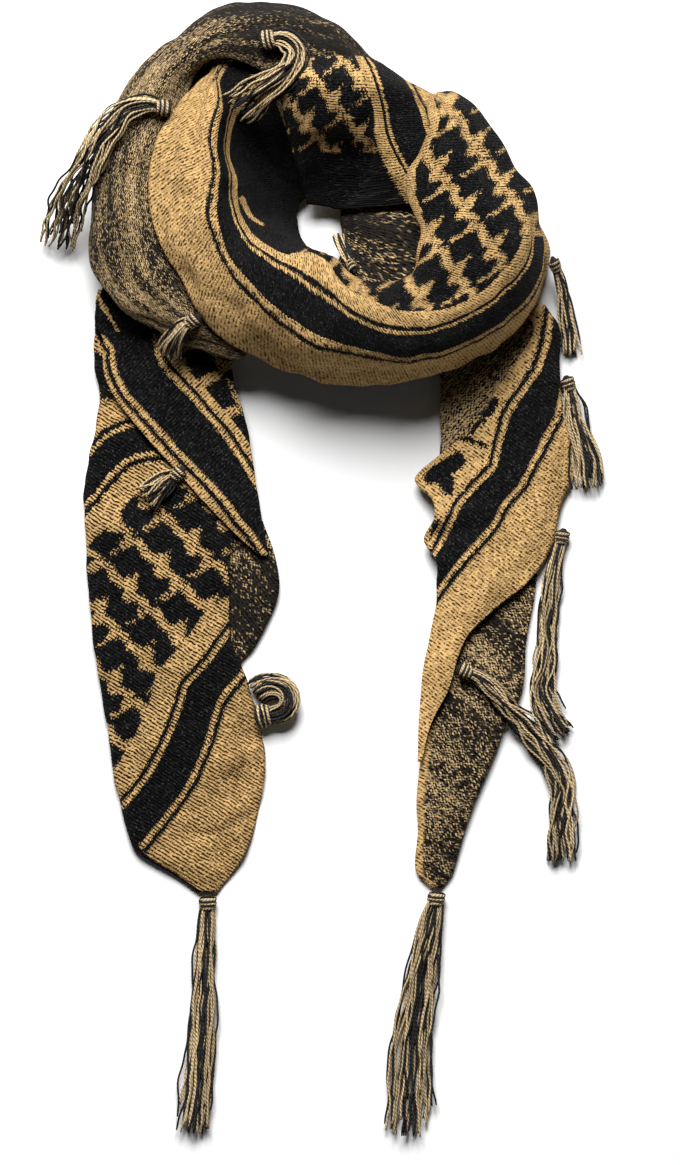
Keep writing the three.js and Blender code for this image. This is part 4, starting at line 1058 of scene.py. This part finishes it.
def right_panel(rng):
    grid, plan = end_grid(RIGHT_PANEL, RIGHT_PANEL_CREASES, 0.5, rng, 2)
    from_hem = border_distance(plan, RIGHT_PANEL_BORDER)
    from_hem = np.where(from_hem > SECOND_LINE_END + 3, NET_START + 10, from_hem)
    # Partly painted shade: these black strokes also stand for shadow along the edge and in a
    # pocket.
    fields = {"from_hem": from_hem, "net": -stroke_distance(plan, RIGHT_PANEL_SHADE_AND_NET_STROKES)}
    return grid, fields, turned(plan, RIGHT_HEADING)


def folded_end(table, heading, painted_shading, plain_rim=0.0):
    """Cloth folded double under an end: a flattened tube."""
    half = CLOTH_THICKNESS / 2
    low = half + 0.05
    controls = []
    for y, left, right, height in table:
        high = max(height - half, low + CLOTH_THICKNESS + 0.1)
        middle, side, edge = (left + right) / 2, (low + high) / 2, (high - low) * 0.45
        left, right = left + half, right - half
        section = [(middle, low), (left + edge, low), (left, side), (left + edge, high),
                   (middle, high + 0.06 * height), (right - edge, high), (right, side),
                   (right - edge, low), (middle, low)]
        controls.append([[x, y, z] for x, z in section])
    grid = Grid(np.array(controls, float), reference=4)
    grid.face(np.where(grid.points[..., 2:] > CLOTH_THICKNESS, UP, -UP))
    x, y, z = np.moveaxis(grid.points, -1, 0)
    plan = grid.points[..., :2]
    lift = sum(height * bump(segment_distance(plan, ends[:2], ends[2:])[0], half_width)
               for *ends, half_width, height in UNDER_CREASES)
    z += np.where(z > UNDER_TOP, lift, 0)
    rim = x - x.min(axis=1, keepdims=True)
    # Painted shade: the lower layers are coloured darker by the amount passed in.
    fields = {"plain": (rim < plain_rim) & (y < PLAIN_RIM_TOP), "painted_shading": grid.spread(painted_shading)}
    return grid, fields, turned(plan, heading)


# ---------------------------------------------------------------- tassels
def tube(points, radius, sides):
    """Vertices, faces and UVs of a capped tube along points, radius one number or one a point."""
    ahead = unit(np.gradient(points, axis=0))
    side, lift = beside(ahead, np.where(np.abs(ahead[:, 2:]) > 0.9, [[1.0, 0, 0]], [UP]))
    turn = 2 * math.pi * np.arange(sides) / sides
    radius = np.broadcast_to(radius, len(points))[:, None, None]
    rings = points[:, None] + radius * (
        np.cos(turn)[None, :, None] * side[:, None] + np.sin(turn)[None, :, None] * lift[:, None]
    )
    last = len(points) - 1
    faces, uvs = [], []
    for i in range(last):
        for j in range(sides):
            corners = [(i, j), (i, j + 1), (i + 1, j + 1), (i + 1, j)]
            faces.append([a * sides + b % sides for a, b in corners])
            uvs.extend([b / sides, a] for a, b in corners)
    faces += [list(range(sides))[::-1], [last * sides + j for j in range(sides)]]
    uvs += [[0, 0]] * sides + [[0, last + 1]] * sides
    return rings.reshape(-1, 3), faces, uvs


def waves(along, size, rng):
    """Uneven waves along a yarn, the longer the larger."""
    return sum(
        size * length / YARN_WAVES[0]
        * np.sin(2 * math.pi * along / (length * rng.uniform(0.8, 1.25)) + rng.uniform(0, 6.3))
        for length in YARN_WAVES
    )


def above_floor(line):
    line[:, 2] = np.maximum(line[:, 2], YARN_RADIUS + YARN_CLEARANCE)
    return line


def yarn_line(route, index, row, lock, rng):
    """One yarn of a hank: its own line beside the others, straying as it nears its end."""
    _, count, neck, end, flatness, stray, _ = row
    whole = len(route) - 1
    last = whole - YARN_END_UNEVENNESS * rng.random() ** 2.5 * whole
    dense = np.linspace(0, last, 60)
    rough = lengths(smooth_at(route, dense))
    rings = max(8, round(rough[-1] / YARN_STEP))
    at = np.interp(np.linspace(0, rough[-1], rings), rough, dense)
    middle = smooth_at(route, at)
    side, lift = beside(unit(np.gradient(middle, axis=0)))
    share = at / whole
    along = lengths(middle)
    reach = math.sqrt((index + 0.5) / count)
    angle = index * GOLDEN_ANGLE
    width = neck + (end - neck) * share**0.8 - 2 * YARN_RADIUS
    depth = neck + (max(neck, end * flatness) - neck) * share - 2 * YARN_RADIUS
    loose = np.minimum(1, share * 3)
    sway = loose * (
        waves(along, stray * 0.75, np.random.default_rng(lock)) + waves(along, stray * 0.28, rng)
    )
    sway += rng.normal() * stray * 0.8 * share**3
    bob = 0.3 * loose * waves(along, stray, rng)
    middle[:, 2] = np.maximum(middle[:, 2], depth / 2 + 2 * YARN_RADIUS + YARN_CLEARANCE)
    return above_floor(
        middle
        + side * (reach * math.cos(angle) * width / 2 + sway)[:, None]
        + lift * (reach * math.sin(angle) * depth / 2 + bob)[:, None]
    )


def head_line(route, neck, turns, tilt):
    """A yarn wound round the neck of a hank, its turns tilted in degrees."""
    ahead = unit(smooth_at(route, np.array([0.05]))[0] - route[0])
    side, lift = beside(ahead)
    turn = np.linspace(0, 2 * math.pi * turns, round(turns * 14) + 1)
    share = turn / turn[-1]
    slant = math.tan(math.radians(tilt)) * neck * HEAD_SHARE
    along = (share - 0.3) * HEAD_LENGTH * 0.62 + slant * np.sin(turn) * 0.6
    radius = neck * HEAD_SHARE * np.sqrt(np.clip(1 - (along / (HEAD_LENGTH * 0.7)) ** 2, 0.25, 1))
    radius -= YARN_RADIUS
    return above_floor(
        route[0] + ahead * along[:, None]
        + side * (np.cos(turn) * radius)[:, None] + lift * (np.sin(turn) * radius)[:, None]
    )


def tassel(row, material, rng):
    name, count, neck, *_, route = row
    route = np.array(route, float)
    points, faces, uvs, tan, shade = [], [], [], [], []

    def append(line, radius, sides, is_tan):
        made, its_faces, its_uvs = tube(line, radius, sides)
        faces.extend([len(points) + k for k in face] for face in its_faces)
        points.extend(made)
        uvs.extend(its_uvs)
        tan.extend([is_tan] * len(made))
        shade.extend([rng.random()] * len(made))

    first_lock = int(rng.integers(1000))
    for index in range(count):
        line = yarn_line(route, index, row, first_lock + index % LOCKS, rng)
        taper = np.full(len(line), YARN_RADIUS)
        taper[-1] *= YARN_TIP
        append(line, taper, YARN_SIDES, index * TAN_YARNS % 1 < TAN_YARNS)
    for turns, tilt, is_tan in HEAD_WINDINGS:
        append(head_line(route, neck, turns, tilt), YARN_RADIUS * 1.1, 6, is_tan)
    start, *_, end = smooth_at(route, np.linspace(0, 0.2, 5))
    reach = np.linspace(-0.4, 0.5, len(HEAD_CORE)) * HEAD_LENGTH
    core = route[0] + unit(end - start) * reach[:, None]
    append(core, np.array(HEAD_CORE) * (neck * HEAD_SHARE - 1.3), 10, False)
    return make_piece(name + "_yarns", name, np.array(points), faces, uvs,
                      {"tan": tan, "shade": shade}, [material])


# ---------------------------------------------------------------- the studio
def make_camera():
    data = bpy.data.cameras.new("camera")
    data.sensor_width = SENSOR
    data.lens = SENSOR * CAMERA_HEIGHT / VIEW_LENGTH
    data.clip_end = 100
    camera = add_object("camera", data)
    camera.location = (*CAMERA_PLACE, CAMERA_HEIGHT)
    bpy.context.scene.camera = camera


def make_light(name, place, size, energy):
    data = bpy.data.lights.new(name, "AREA")
    data.size = size
    data.energy = energy
    light = add_object(name, data)
    light.location = place
    heading = Vector(LIGHT_AIM) - Vector(place)
    light.rotation_euler = heading.to_track_quat("-Z", "Y").to_euler()


def make_studio():
    make_light("key", (-0.3, 2.5, 2.5), 1.8, 280)
    make_light("fill", (0.5, -2.6, 0.8), 1.5, 4)
    world = bpy.data.worlds.new("studio")
    world.use_nodes = True
    background = world.node_tree.nodes["Background"].inputs
    background["Color"].default_value = (1, 1, 1, 1)
    background["Strength"].default_value = 0.011
    bpy.context.scene.world = world
    bpy.context.scene.view_settings.view_transform = "Standard"
    half = FLOOR_HALF
    mesh = bpy.data.meshes.new("floor")
    corners = [(-half, -half, 0), (half, -half, 0), (half, half, 0), (-half, half, 0)]
    mesh.from_pydata(corners, [], [(0, 1, 2, 3)])
    mesh.materials.append(floor_finish())
    add_object("floor", mesh)


# ---------------------------------------------------------------- the scarf
def make_scarf():
    rng = np.random.default_rng(WAVE_SEED)
    face, reverse, strand = patterned_knit(), mottled_knit(), yarn()
    tassels = {row[0]: tassel(row, strand, rng) for row in TASSELS}

    def sheet(node, slot, materials, made, held, rests_on, hung=()):
        piece = cloth_piece(node, slot, materials, *made)
        tuple(made[0].size())

    face_up = "patterned_knit", [face, reverse]
    reverse_up = "mottled_knit", [reverse, face]
    reverse_only = "mottled_knit", [reverse]
    heap = "hidden_layers_cloth"
    sheet("hidden_layers", "patterned_knit", [reverse], hidden_layers(rng), "folded", ["floor"])
    sheet("back_wrap", *reverse_up, back_wrap(rng), "draped", [heap], ["crown", "shoulder"])
    sheet("crossing_wrap", *face_up, crossing_wrap(rng), "draped", [heap, "back_wrap_cloth"])
    sheet("well_wrap", *reverse_only, well_wrap(rng), "draped", [heap], ["neck"])
    sheet("front_wrap", *face_up, front_wrap(rng), "draped", [heap, "back_wrap_cloth"],
          ["waist", "right_ring"])
    # The lower layers carry painted shade: 1.1 under the left end, 0.5 under the right.
    sheet("left_under", *reverse_only, folded_end(LEFT_UNDER, LEFT_UNDER_HEADING, 1.1), "folded",
          ["floor"])
    sheet("left_panel", *face_up, left_panel(rng), "laid", ["left_under_cloth"],
          ["left_curl", "left_tip"])
    sheet("left_flap", *face_up, left_flap(rng), "laid", ["left_panel_cloth"], ["left_band"])
    sheet("right_under", *reverse_only, folded_end(RIGHT_UNDER, RIGHT_HEADING, 0.5, PLAIN_RIM),
          "folded", ["floor"], ["right_tip"])
    sheet("right_upper", *reverse_only, right_upper(rng), "laid", ["right_under_cloth", heap])
    sheet("right_panel", *face_up, right_panel(rng), "laid",
          ["right_under_cloth", "right_upper_cloth"],
          ["right_upper", "right_middle", "right_inner"])


make_camera()
make_studio()
make_scarf()
